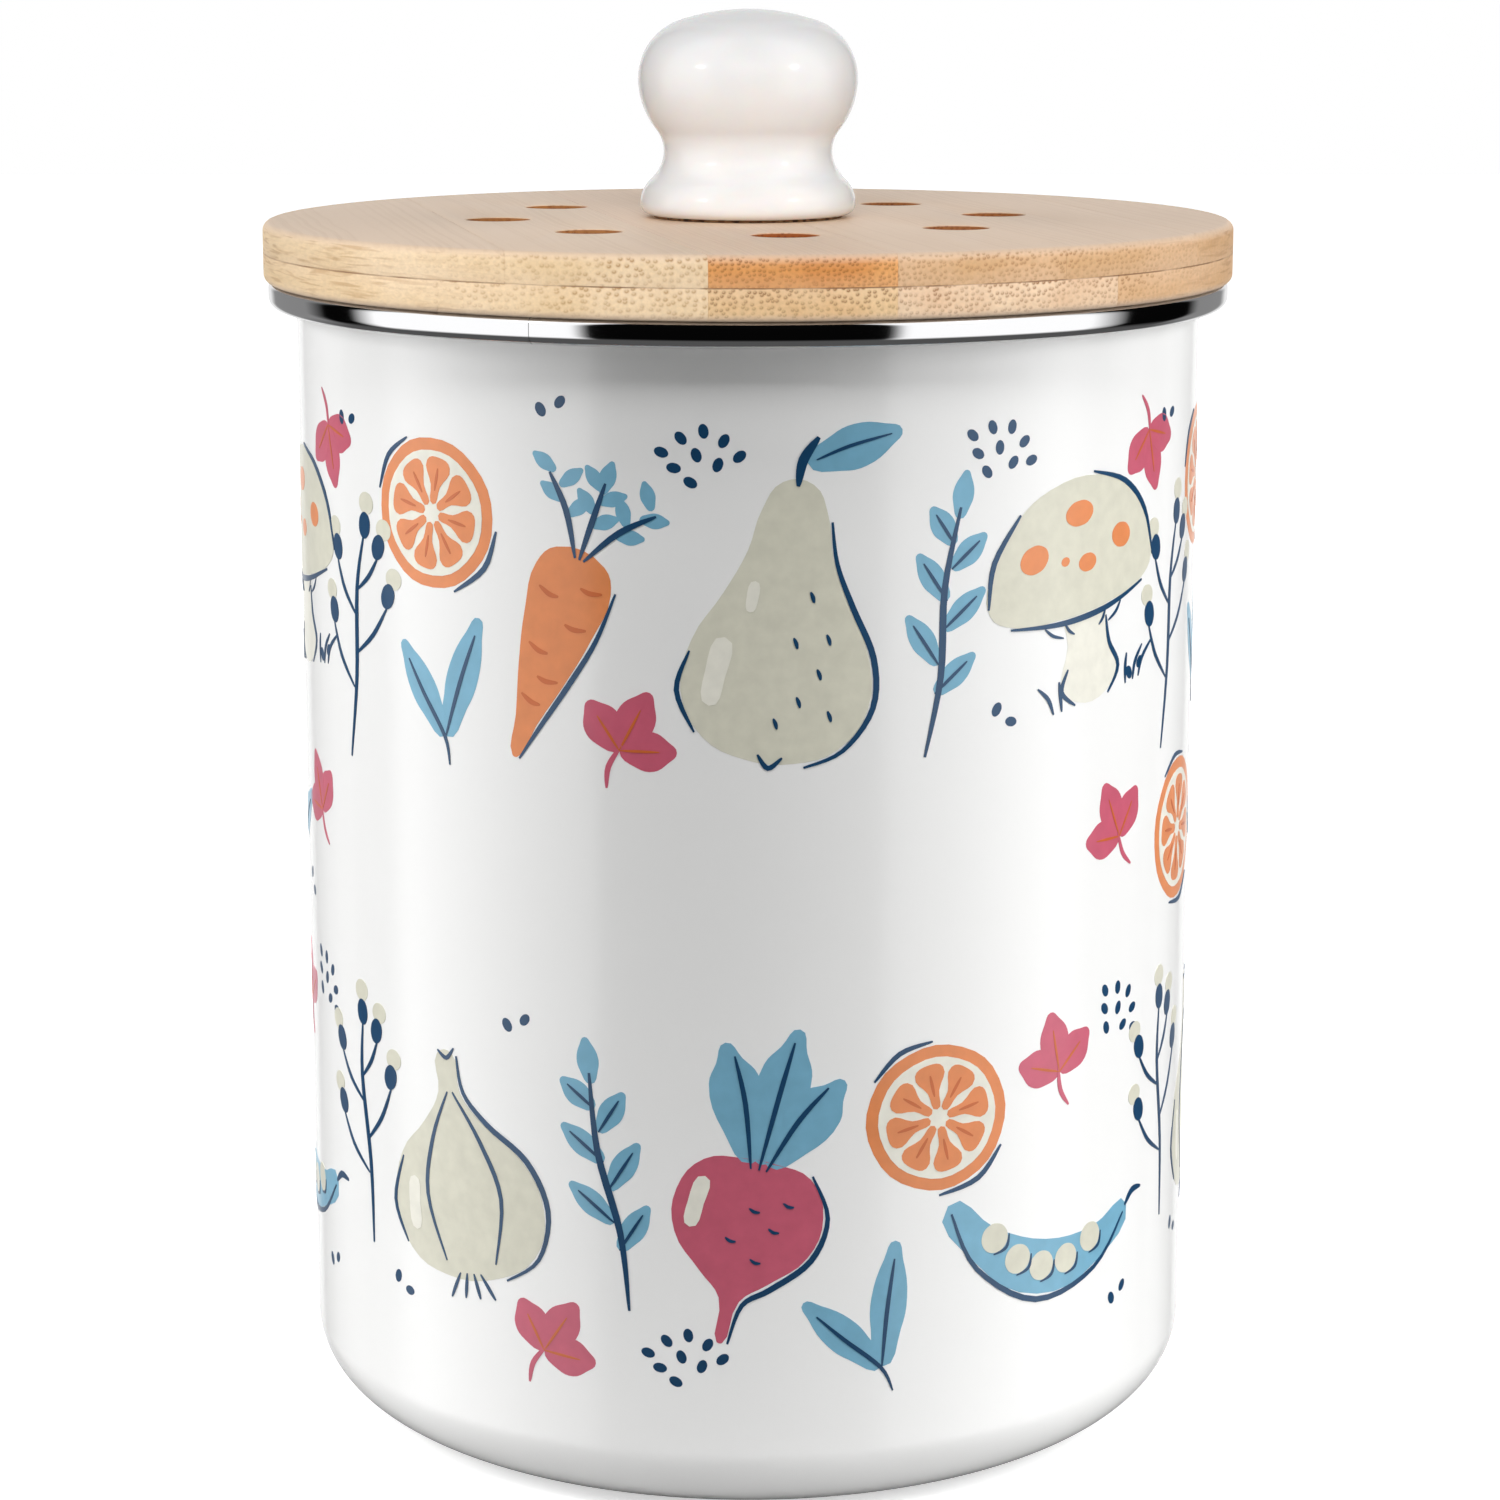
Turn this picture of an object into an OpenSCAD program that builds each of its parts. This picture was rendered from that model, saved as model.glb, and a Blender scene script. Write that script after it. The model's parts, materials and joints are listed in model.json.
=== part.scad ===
// Countertop compost caddy. A drawn and enamelled steel drum has a stainless trim crimped round
// its hemmed rim. The lift-off lid is two plies of bamboo strips with a ring of vent holes. It
// carries a glazed ceramic knob, a spigot ring with a lip seal, and a charcoal filter that a
// bayonet cover holds in a moulded ring. All sizes are in millimetres, and Z is up.

/* [Canister] */
// Outer diameter of the drum
drum_d = 168.2; // [166:0.2:169]
// Height of the canister to the top of its rim
canister_h = 211.2; // [150:0.2:260]
// Thickness of the enamelled steel
wall_t = 1.2; // [0.8:0.1:1.3]
// Outer radius of the bottom corner
corner_r = 12.8; // [8:0.2:16]
// Height of the raised middle of the base
panel_lift = 1.6; // [0.8:0.1:3]
// Diameter of the raised middle of the base
panel_d = 124; // [100:1:130]

/* [Rim] */
// Outer diameter of the stainless trim
rim_d = 178.4; // [178:0.2:179]
// Height of the stainless trim
rim_h = 4.6; // [4.2:0.1:5]
// Thickness of the trim's sheet
rim_t = 0.5; // [0.3:0.1:0.6]
// Angle of the trim's butt seam, to the left of the front
seam_angle = 24; // [0:1:180]

/* [Bamboo lid] */
// Diameter of the lid
lid_d = 180; // [179:0.2:184]
// Thickness of one bamboo ply
ply_t = 5.5; // [4.5:0.1:7]
// Radius that rounds the lid's top edge
top_round = 1.6; // [1:0.1:3]
// Radius that rounds the lid's bottom edge
bottom_round = 1.4; // [0.6:0.1:1.8]
// Angle of the bamboo's fibres, to the right of straight out at the front
fibre_angle = 12; // [0:1:45]
// Number of vent holes
vent_count = 8; // [4:1:10]
// Diameter of a vent hole
vent_d = 12; // [6:0.5:12]
// Diameter of the circle that the vent holes stand on
vent_circle_d = 93.4; // [88:0.2:94]
// Angle of the first vent hole, to the right of the front
vent_angle = 8; // [0:0.5:45]

/* [Knob] */
// Widest diameter of the knob's head
knob_head_d = 40.8; // [38:0.2:42]
// Widest diameter of the knob's foot
knob_foot_d = 40.2; // [38:0.2:41]
// Diameter of the knob's neck
knob_neck_d = 31.4; // [30:0.2:33]
// Height of the knob over its pad
knob_h = 37.8; // [36:0.2:40]

/* [Spigot and seal] */
// Outer diameter of the ring that drops into the drum
spigot_d = 160.8; // [159:0.2:162]
// Depth of the ring under the lid
spigot_h = 9; // [8:0.5:14]
// Gap left between the seal's lips and the drum
seal_gap = 0.3; // [0.3:0.05:0.8]

/* [Filter holder] */
// Outer diameter of the moulded ring that holds the filter
holder_d = 130; // [128:0.5:131]
// Wall thickness of the moulded ring
holder_t = 2.6; // [2:0.1:3]
// Depth of the moulded ring under the lid
holder_h = 17; // [15:0.5:24]
// Angle that the filter cover turns through to unlock
unlock_angle = 22; // [16:1:40]
// Number of bayonet lugs on the cover
lug_count = 3; // [2:1:4]
// Number of spokes in the cover's grille
spoke_count = 12; // [6:1:16]
// Number of slotted rings in the cover's grille
slot_rings = 6; // [3:1:6]

/* [Hidden] */
$fn = 96;

// Places where the strips of each ply meet, measured across the fibres from the lid's centre
upper_joints = [-56, -25, 6, 37, 68];
lower_joints = [-66, -25, 6, 48];
upper_colors = ["#e3c08c", "#e6c79a", "#e0bd87", "#dca765", "#dfb67d", "#e2bc86"];
lower_colors = ["#e7c994", "#e6ca98", "#e0bb86", "#dfc091", "#dcb47a"];

drum_r = drum_d / 2;
bore_r = drum_r - wall_t;
rim_r = rim_d / 2;
lid_r = lid_d / 2;
lid_z = canister_h;
glue_z = lid_z + ply_t;
lid_top_z = glue_z + ply_t;
vent_circle_r = vent_circle_d / 2;

// The hem that the trim is crimped on: the sheet turns out over the wall, and folds back under itself
hem_top_z = canister_h - rim_t;
hem_bottom_z = canister_h - rim_h + rim_t;
hem_h = hem_top_z - hem_bottom_z;
hem_gap = hem_h - 2 * wall_t;
fit_gap = 0.05;
hem_r = rim_r - rim_t - fit_gap;
bend_r = 0.8;
trim_top_round = 1.1;
trim_bottom_round = 1.8;
trim_grip = 3.2;
seam_gap = 0.25;

foot_flat_r = drum_r - corner_r;
panel_r = panel_d / 2;
panel_slope = 3;

// Fixings through the lid's centre: an M5 screw from a counterbore in the lower ply into the knob
pad_t = 0.5;
pad_r = 17.6;
knob_z = lid_top_z + pad_t;
screw_r = 2.5;
screw_hole_r = 2.8;
screw_len = 25;
screw_head_r = 4.6;
screw_head_h = 3.3;
washer_r = 9;
washer_t = 1.2;
counterbore_r = 10;
insert_r = 5;
insert_h = 19;
insert_z = knob_z + 1.2;

spigot_r = spigot_d / 2;
spigot_wall = 13.4;
groove_h = 4;
groove_d = 3;
groove_z = lid_z - 6.5;
lip_t = 0.8;
lip_rise = 1;

holder_r = holder_d / 2;
holder_bore_r = holder_r - holder_t;
holder_z = lid_z - holder_h;
holder_bead = 0.9;
flange_t = 2;
flange_w = 9.2;
holder_screw_count = 3;
holder_screw_circle_r = 58.2;
holder_screw_r = 1.5;
holder_screw_head_r = 3;
holder_screw_head_h = 1.7;
holder_screw_len = 9;
holder_screw_angle = 40;
flange_z = lid_z - flange_t;

// The filter's cover: its plate, its raised edge and the lugs that turn into the holder's slots
cover_r = holder_bore_r - 0.4;
cover_z = holder_z + 1;
plate_t = 2;
edge_t = 2.2;
edge_h = 4.4;
lug_reach = 0.4;
lug_h = 2.6;
lug_angle = 10;
lug_z = cover_z + edge_h - lug_h;
slot_clearance = 0.4;
slot_side = 0.5;
entry_extra = 1.5;
bar_w = 2.4;
hub_r = 21;
spoke_w = 2.6;
grip_l = 42;
grip_h = 9;
grip_end_r = 4.4;
grip_waist = 4;
filter_r = holder_bore_r - 1.2;
filter_gap = 0.4;

// Points along an arc of radius r round [x, y], from angle a to angle b, one about every 7 degrees
function arc(x, y, r, a, b) =
    let (steps = max(2, ceil(abs(b - a) / 7)))
    [for (i = [0:steps]) let (t = a + (b - a) * i / steps) [x + r * cos(t), y + r * sin(t)]];

// Places a child on a circle in the lid, at an angle to the right of the front
module at_angle(angle, radius) {
    rotate([0, 0, angle - 90])
        translate([radius, 0, 0])
            children();
}

// A sector of a ring, centred on an angle, from radius r1 to r2 and height z1 to z2
module ring_sector(angle, spread, r1, r2, z1, z2) {
    rotate([0, 0, angle - spread / 2])
        rotate_extrude(angle = spread)
            translate([r1, z1])
                square([r2 - r1, z2 - z1]);
}

module canister_shell() {
    inner_corner_r = corner_r - wall_t;
    fold_r = hem_h / 2;
    fold_inner_r = hem_gap / 2;
    fold_x = hem_r - fold_r;
    fold_z = hem_top_z - fold_r;
    bend_x = drum_r + bend_r;
    bend_z = hem_top_z - wall_t - bend_r;
    hem_end_r = bend_x + 0.6;
    color("#f3f4f3")
        rotate_extrude($fn = 180)
            polygon(concat(
                [[0, panel_lift], [panel_r, panel_lift], [panel_r + panel_slope, 0]],
                arc(foot_flat_r, corner_r, corner_r, -90, 0),
                arc(bend_x, bend_z, bend_r, 180, 90),
                arc(fold_x, fold_z, fold_inner_r, 90, -90),
                [[hem_end_r, fold_z - fold_inner_r], [hem_end_r, hem_bottom_z]],
                arc(fold_x, fold_z, fold_r, -90, 90),
                arc(bend_x, bend_z, bend_r + wall_t, 90, 180),
                [[bore_r, bend_z - 1]],
                arc(foot_flat_r, corner_r, inner_corner_r, 0, -90),
                [[panel_r + panel_slope, wall_t], [panel_r, panel_lift + wall_t], [0, panel_lift + wall_t]]));
}

module rim_band() {
    top_x = rim_r - trim_top_round;
    top_z = canister_h - trim_top_round;
    low_x = rim_r - trim_bottom_round;
    low_z = canister_h - rim_h + trim_bottom_round;
    grip_r = hem_r - trim_grip;
    color("#c8cacb")
        difference() {
            rotate_extrude($fn = 180)
                polygon(concat(
                    [[grip_r, canister_h]],
                    arc(top_x, top_z, trim_top_round, 90, 0),
                    arc(low_x, low_z, trim_bottom_round, 0, -90),
                    [[grip_r + 0.4, canister_h - rim_h], [grip_r + 0.4, hem_bottom_z]],
                    arc(low_x, low_z, trim_bottom_round - rim_t, -90, 0),
                    arc(top_x, top_z, trim_top_round - rim_t, 0, 90),
                    [[grip_r, hem_top_z]]));
            at_angle(-seam_angle, rim_r)
                cube([12, seam_gap, 12 + 2 * canister_h], center = true);
        }
}

// The turned outline of both plies together
module lid_blank() {
    rotate_extrude($fn = 180)
        polygon(concat(
            [[0, lid_z]],
            arc(lid_r - bottom_round, lid_z + bottom_round, bottom_round, -90, 0),
            arc(lid_r - top_round, lid_top_z - top_round, top_round, 0, 90),
            [[0, lid_top_z]]));
}

module vent_holes() {
    for (i = [0:vent_count - 1])
        at_angle(vent_angle + i * 360 / vent_count, vent_circle_r)
            translate([0, 0, lid_z - 1])
                cylinder(d = vent_d, h = 2 * ply_t + 2, $fn = 48);
}

module at_holder_screws() {
    for (i = [0:holder_screw_count - 1])
        at_angle(holder_screw_angle + i * 360 / holder_screw_count, holder_screw_circle_r)
            translate([0, 0, flange_z])
                children();
}

// One bamboo strip of a ply: the lid between two glue joints, with its share of the holes
module strip(joints, i, z, shade) {
    from = i == 0 ? -lid_r - 1 : joints[i - 1];
    to = i == len(joints) ? lid_r + 1 : joints[i];
    color(shade)
        difference() {
            intersection() {
                lid_blank();
                rotate([0, 0, fibre_angle])
                    translate([from, -lid_r - 1, z])
                        cube([to - from, lid_d + 2, ply_t]);
            }
            vent_holes();
            translate([0, 0, lid_z - 1])
                cylinder(r = screw_hole_r, h = 2 * ply_t + 2, $fn = 48);
            translate([0, 0, lid_z - 1])
                cylinder(r = counterbore_r, h = ply_t + 1, $fn = 48);
            at_holder_screws()
                cylinder(r = holder_screw_r + fit_gap, h = holder_screw_len + fit_gap, $fn = 32);
        }
}

module upper_strip(number) {
    strip(upper_joints, number - 1, glue_z, upper_colors[number - 1]);
}

module lower_strip(number) {
    strip(lower_joints, number - 1, lid_z, lower_colors[number - 1]);
}

// Turned ring glued under the lid, with a groove round it for the seal
module plug_ring() {
    chamfer = 1;
    bottom_z = lid_z - spigot_h;
    color("#e4c795")
        rotate_extrude($fn = 180)
            polygon([
                [spigot_r - spigot_wall, lid_z], [spigot_r - spigot_wall, bottom_z],
                [spigot_r - chamfer, bottom_z], [spigot_r, bottom_z + chamfer],
                [spigot_r, groove_z], [spigot_r - groove_d, groove_z],
                [spigot_r - groove_d, groove_z + groove_h], [spigot_r, groove_z + groove_h],
                [spigot_r, lid_z]]);
}

// Silicone ring pressed in the groove, with two thin lips that lean upwards
module lid_seal() {
    root_r = spigot_r - groove_d;
    lip_r = bore_r - seal_gap;
    lower_z = groove_z + 0.2;
    upper_z = groove_z + groove_h - lip_rise - lip_t;
    color("#e9ebea")
        rotate_extrude($fn = 180)
            polygon([
                [root_r, groove_z], [spigot_r, groove_z],
                [spigot_r, lower_z], [lip_r, lower_z + lip_rise], [lip_r, lower_z + lip_rise + lip_t / 2],
                [spigot_r, lower_z + lip_t],
                [spigot_r, upper_z], [lip_r, upper_z + lip_rise], [lip_r, upper_z + lip_rise + lip_t / 2],
                [spigot_r, upper_z + lip_t],
                [spigot_r, groove_z + groove_h], [root_r, groove_z + groove_h]]);
}

// Mushroom knob. Its outline is five arcs that run into each other: foot, neck, head, shoulder, crown
module knob() {
    neck_arc_r = 6.5;
    neck_z = knob_z + 11.7;
    foot_z = knob_z + 2.1;
    head_z = knob_z + 25.1;
    shoulder_r = 11.2;
    top_z = knob_z + knob_h;
    neck_x = knob_neck_d / 2 + neck_arc_r;
    // Radii at which the foot's and the head's arcs just meet the neck's arc
    foot_gap = neck_x - knob_foot_d / 2;
    foot_r = (pow(foot_gap, 2) + pow(neck_z - foot_z, 2) - pow(neck_arc_r, 2)) / (2 * (neck_arc_r - foot_gap));
    head_gap = neck_x - knob_head_d / 2;
    head_r = (pow(head_gap, 2) + pow(head_z - neck_z, 2) - pow(neck_arc_r, 2)) / (2 * (neck_arc_r - head_gap));
    // Radius at which the crown, centred on the axis, just meets the shoulder
    shoulder_x = knob_head_d / 2 - shoulder_r;
    rise = top_z - head_z;
    crown_r = (pow(shoulder_x, 2) + pow(rise, 2) - pow(shoulder_r, 2)) / (2 * (rise - shoulder_r));
    foot_x = knob_foot_d / 2 - foot_r;
    head_x = knob_head_d / 2 - head_r;
    foot_meet = atan2(neck_z - foot_z, neck_x - foot_x);
    head_meet = atan2(head_z - neck_z, neck_x - head_x);
    crown_meet = atan2(head_z - top_z + crown_r, shoulder_x);
    edge_r = foot_z - knob_z;
    color("#f6f6f4")
        difference() {
            rotate_extrude($fn = 120)
                polygon(concat(
                    [[0, knob_z]],
                    arc(knob_foot_d / 2 - edge_r, foot_z, edge_r, -90, 0),
                    arc(foot_x, foot_z, foot_r, 7, foot_meet),
                    arc(neck_x, neck_z, neck_arc_r, 180 + foot_meet, 180 - head_meet),
                    arc(head_x, head_z, head_r, -head_meet, 0),
                    arc(shoulder_x, head_z, shoulder_r, 7, crown_meet),
                    arc(0, top_z - crown_r, crown_r, crown_meet + 2, 90)));
            translate([0, 0, knob_z - 1])
                cylinder(r = insert_r + fit_gap, h = insert_z + insert_h + 1 - knob_z + fit_gap, $fn = 48);
        }
}

module knob_pad() {
    color("#4a4038")
        translate([0, 0, lid_top_z])
            difference() {
                cylinder(r = pad_r, h = pad_t);
                translate([0, 0, -1])
                    cylinder(r = screw_hole_r, h = pad_t + 2);
            }
}

// Brass thread insert cemented into the knob
module knob_insert() {
    color("#c9a24e")
        translate([0, 0, insert_z])
            difference() {
                cylinder(r = insert_r, h = insert_h);
                translate([0, 0, -1])
                    cylinder(r = screw_r + fit_gap, h = insert_h);
            }
}

module cross_recess(size, depth) {
    for (turn = [0, 90])
        rotate([0, 0, turn])
            translate([-size / 2, -size / 8, -1])
                cube([size, size / 4, depth + 1]);
}

module knob_screw() {
    shoulder_z = glue_z - washer_t;
    color("#b9bcbe")
        translate([0, 0, shoulder_z - screw_head_h])
            difference() {
                union() {
                    rotate_extrude()
                        polygon(concat(
                            [[0, 0]],
                            arc(screw_head_r - 1.4, 1.4, 1.4, -90, 0),
                            [[screw_head_r, screw_head_h], [0, screw_head_h]]));
                    cylinder(r = screw_r, h = screw_head_h + screw_len);
                }
                cross_recess(4.4, 2);
            }
}

module screw_washer() {
    color("#c3c6c8")
        translate([0, 0, glue_z - washer_t])
            difference() {
                cylinder(r = washer_r, h = washer_t);
                translate([0, 0, -1])
                    cylinder(r = screw_r + fit_gap, h = washer_t + 2);
            }
}

// L-shaped slot for one lug: the lug comes in from below and turns to the slot's closed end
module bayonet_slot(lug_at) {
    entry_spread = lug_angle + 2 * entry_extra;
    entry_at = lug_at - unlock_angle;
    low = lug_z - slot_clearance;
    high = lug_z + lug_h + slot_clearance;
    run_from = entry_at - entry_spread / 2;
    run_to = lug_at + lug_angle / 2 + slot_side;
    ring_sector(entry_at, entry_spread, holder_bore_r - 1, holder_r + 2, holder_z - 1, high);
    ring_sector((run_from + run_to) / 2, run_to - run_from, holder_bore_r - 1, holder_r + 2, low, high);
}

// Moulded ring screwed under the lid: a wall with bayonet slots, and a flange that the filter bears on
module filter_housing() {
    flange_r = holder_bore_r - flange_w;
    bead_h = 1.8;
    color("#f0f1ee")
        difference() {
            rotate_extrude($fn = 180)
                polygon([
                    [flange_r, lid_z], [flange_r, flange_z], [holder_bore_r, flange_z],
                    [holder_bore_r, holder_z], [holder_r + holder_bead, holder_z],
                    [holder_r + holder_bead, holder_z + bead_h], [holder_r, holder_z + bead_h + holder_bead],
                    [holder_r, lid_z]]);
            at_holder_screws()
                translate([0, 0, -1])
                    cylinder(r = holder_screw_r + fit_gap, h = flange_t + 2, $fn = 32);
            at_holder_screws()
                cylinder(r1 = holder_screw_head_r, r2 = holder_screw_r, h = holder_screw_head_h, $fn = 32);
            for (i = [0:lug_count - 1])
                bayonet_slot(i * 360 / lug_count);
        }
}

module housing_screws() {
    color("#b9bcbe")
        at_holder_screws()
            difference() {
                union() {
                    cylinder(r1 = holder_screw_head_r, r2 = holder_screw_r, h = holder_screw_head_h, $fn = 32);
                    cylinder(r = holder_screw_r, h = holder_screw_len, $fn = 32);
                }
                cross_recess(3, 1);
            }
}

module charcoal_filter() {
    low = cover_z + edge_h + filter_gap;
    color("#2b2b2d")
        translate([0, 0, low])
            cylinder(r = filter_r, h = flange_z - low);
}

// Bar across the cover that fingers turn, waisted in its middle
module grip_bar() {
    waist_r = (pow(grip_l / 2, 2) + pow(grip_end_r - grip_waist / 2, 2)) / (2 * (grip_end_r - grip_waist / 2));
    translate([0, 0, cover_z - grip_h])
        linear_extrude(grip_h)
            difference() {
                union() {
                    square([grip_l - 2 * grip_end_r, 2 * grip_end_r], center = true);
                    for (side = [-1, 1])
                        translate([side * (grip_l / 2 - grip_end_r), 0])
                            circle(r = grip_end_r, $fn = 32);
                }
                for (side = [-1, 1])
                    translate([0, side * (waist_r + grip_waist / 2)])
                        circle(r = waist_r, $fn = 180);
            }
}

// Bayonet cover: a slotted grille in a raised edge, with lugs round it and a grip bar below
module filter_cover() {
    field_r = cover_r - edge_t;
    pitch = (field_r - hub_r) / slot_rings;
    color("#eceded") {
        difference() {
            translate([0, 0, cover_z])
                cylinder(r = cover_r, h = edge_h, $fn = 180);
            translate([0, 0, cover_z + plate_t])
                cylinder(r = field_r, h = edge_h, $fn = 180);
            for (i = [0:slot_rings - 1])
                difference() {
                    slot_r = hub_r + i * pitch;
                    translate([0, 0, cover_z - 1])
                        cylinder(r = slot_r + pitch - bar_w, h = plate_t + 2, $fn = 120);
                    translate([0, 0, cover_z - 2])
                        cylinder(r = slot_r, h = plate_t + 4, $fn = 120);
                    for (s = [0:spoke_count / 2 - 1])
                        rotate([0, 0, s * 360 / spoke_count])
                            cube([2 * cover_r, spoke_w, 4 * cover_z], center = true);
                }
        }
        for (i = [0:lug_count - 1])
            ring_sector(i * 360 / lug_count, lug_angle, field_r + 0.5, holder_r - lug_reach, lug_z, lug_z + lug_h);
        grip_bar();
    }
}

canister_shell();
rim_band();
upper_strip(1);  // upper_strip_1
upper_strip(2);  // upper_strip_2
upper_strip(3);  // upper_strip_3
upper_strip(4);  // upper_strip_4
upper_strip(5);  // upper_strip_5
upper_strip(6);  // upper_strip_6
lower_strip(1);  // lower_strip_1
lower_strip(2);  // lower_strip_2
lower_strip(3);  // lower_strip_3
lower_strip(4);  // lower_strip_4
lower_strip(5);  // lower_strip_5
plug_ring();
lid_seal();
knob();
knob_pad();
knob_insert();
knob_screw();
screw_washer();
filter_housing();
housing_screws();
charcoal_filter();
filter_cover();
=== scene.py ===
import json
import math

import bmesh
import bpy
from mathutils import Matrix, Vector

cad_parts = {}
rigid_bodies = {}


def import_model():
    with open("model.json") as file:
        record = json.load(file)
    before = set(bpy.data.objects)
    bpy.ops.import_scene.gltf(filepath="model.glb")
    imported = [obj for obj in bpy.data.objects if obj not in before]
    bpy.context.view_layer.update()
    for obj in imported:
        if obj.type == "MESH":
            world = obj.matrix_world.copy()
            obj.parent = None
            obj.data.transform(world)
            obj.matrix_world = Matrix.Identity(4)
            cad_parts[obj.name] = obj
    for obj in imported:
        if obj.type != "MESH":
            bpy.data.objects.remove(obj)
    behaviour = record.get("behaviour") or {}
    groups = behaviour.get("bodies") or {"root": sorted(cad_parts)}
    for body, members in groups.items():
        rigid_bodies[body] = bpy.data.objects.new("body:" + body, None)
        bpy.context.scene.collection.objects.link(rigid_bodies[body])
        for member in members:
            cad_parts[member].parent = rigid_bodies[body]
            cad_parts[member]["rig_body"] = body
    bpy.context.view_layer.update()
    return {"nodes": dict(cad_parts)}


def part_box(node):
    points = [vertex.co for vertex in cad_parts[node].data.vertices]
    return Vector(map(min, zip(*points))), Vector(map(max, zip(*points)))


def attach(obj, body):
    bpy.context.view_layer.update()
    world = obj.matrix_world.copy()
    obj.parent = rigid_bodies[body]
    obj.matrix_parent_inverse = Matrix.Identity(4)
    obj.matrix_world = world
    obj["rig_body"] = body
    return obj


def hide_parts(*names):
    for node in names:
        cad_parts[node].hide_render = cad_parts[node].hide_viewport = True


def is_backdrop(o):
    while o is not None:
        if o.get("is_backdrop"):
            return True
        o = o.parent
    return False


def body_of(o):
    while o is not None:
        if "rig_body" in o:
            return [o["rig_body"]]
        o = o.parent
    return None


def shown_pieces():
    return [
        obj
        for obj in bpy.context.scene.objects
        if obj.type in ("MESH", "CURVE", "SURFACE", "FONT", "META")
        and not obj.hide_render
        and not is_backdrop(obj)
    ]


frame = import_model()


# Canister: one deep-drawn steel drum, dipped in white vitreous enamel and fired, inside and out.
# Its base is pressed up in the middle, so it stands on a ring, and its mouth is turned out and
# folded under itself to carry the steel trim.

MM = 0.001


def arc(x, z, radius, start, end, steps):
    """Points round [x, z] from one angle to another, in degrees."""
    angles = [math.radians(start + (end - start) * i / steps) for i in range(steps + 1)]
    return [(x + radius * math.cos(a), z + radius * math.sin(a)) for a in angles]


def turned(name, outline, steps=192, soft_angle=35):
    """Draws a half outline of (radius, height) in millimetres by extruding a vertex, and spins it."""
    bpy.ops.object.select_all(action="DESELECT")
    start = Vector((outline[0][0], 0, outline[0][1])) * MM
    bpy.ops.mesh.primitive_plane_add(size=MM, location=start)
    piece = bpy.context.object
    piece.name = name
    bpy.ops.object.transform_apply(location=True)
    bpy.ops.object.mode_set(mode="EDIT")
    bpy.ops.mesh.select_mode(type="VERT")
    bpy.ops.mesh.merge(type="CENTER")
    for (x, z), (next_x, next_z) in zip(outline, outline[1:]):
        step = Vector((next_x - x, 0, next_z - z)) * MM
        bpy.ops.mesh.extrude_vertices_move(TRANSFORM_OT_translate={"value": step})
    bpy.ops.mesh.select_all(action="SELECT")
    bpy.ops.mesh.spin(steps=steps, angle=2 * math.pi, center=(0, 0, 0), axis=(0, 0, 1))
    bpy.ops.mesh.select_all(action="SELECT")
    bpy.ops.mesh.remove_doubles(threshold=0.002 * MM)
    bpy.ops.mesh.normals_make_consistent(inside=False)
    bpy.ops.object.mode_set(mode="OBJECT")
    bpy.ops.object.shade_smooth_by_angle(angle=math.radians(soft_angle))
    return piece


def linear(code):
    """An sRGB hex colour as Blender's linear one."""
    parts = [int(code[i:i + 2], 16) / 255 for i in (1, 3, 5)]
    return [*((c / 12.92 if c <= 0.04045 else ((c + 0.055) / 1.055) ** 2.4) for c in parts), 1]


def node(mat, kind, inputs=None, stops=None, **settings):
    """Adds a node with its settings, its values and links, and a ramp's stops."""
    made = mat.node_tree.nodes.new(kind)
    for key, value in settings.items():
        setattr(made, key, value)
    for socket, value in (inputs or {}).items():
        if isinstance(value, bpy.types.NodeSocket):
            mat.node_tree.links.new(value, made.inputs[socket])
        else:
            made.inputs[socket].default_value = value
    for i, (place, colour) in enumerate(stops or []):
        stop = made.color_ramp.elements[i] if i < 2 else made.color_ramp.elements.new(place)
        stop.position = place
        stop.color = colour
    return made


def material(name, colour, roughness, **sockets):
    """A new material whose shader's own sockets hold the values that are the same all over."""
    made = bpy.data.materials.new(name)
    made.use_nodes = True
    shader = made.node_tree.nodes["Principled BSDF"]
    shader.inputs["Base Color"].default_value = linear(colour)
    shader.inputs["Roughness"].default_value = roughness
    for key, value in sockets.items():
        shader.inputs[key.replace("_", " ")].default_value = value
    return made, shader


def join(mat, source, target):
    """Links one node's output to another's input."""
    mat.node_tree.links.new(source, target)


def fitted(piece, body, cad_node, finish):
    """Gives a piece its material and lets it stand for a CAD part."""
    piece.data.materials.clear()
    piece.data.materials.append(finish)
    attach(piece, body)
    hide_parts(cad_node)


# Vitreous enamel: glass fired on steel. It is bright, smooth and slightly wavy, like orange peel.
enamel, shader = material("white_vitreous_enamel", "#f7f7f6", 0.16, Coat_Weight=0.5, Coat_Roughness=0.05)
place = node(enamel, "ShaderNodeTexCoord")
waves = node(enamel, "ShaderNodeTexNoise", {
    "Vector": place.outputs["Object"], "Scale": 1 / (9 * MM), "Detail": 1})
bump = node(enamel, "ShaderNodeBump", {
    "Height": waves.outputs["Fac"], "Strength": 0.06, "Distance": 0.2 * MM})
join(enamel, bump.outputs["Normal"], shader.inputs["Normal"])

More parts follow.
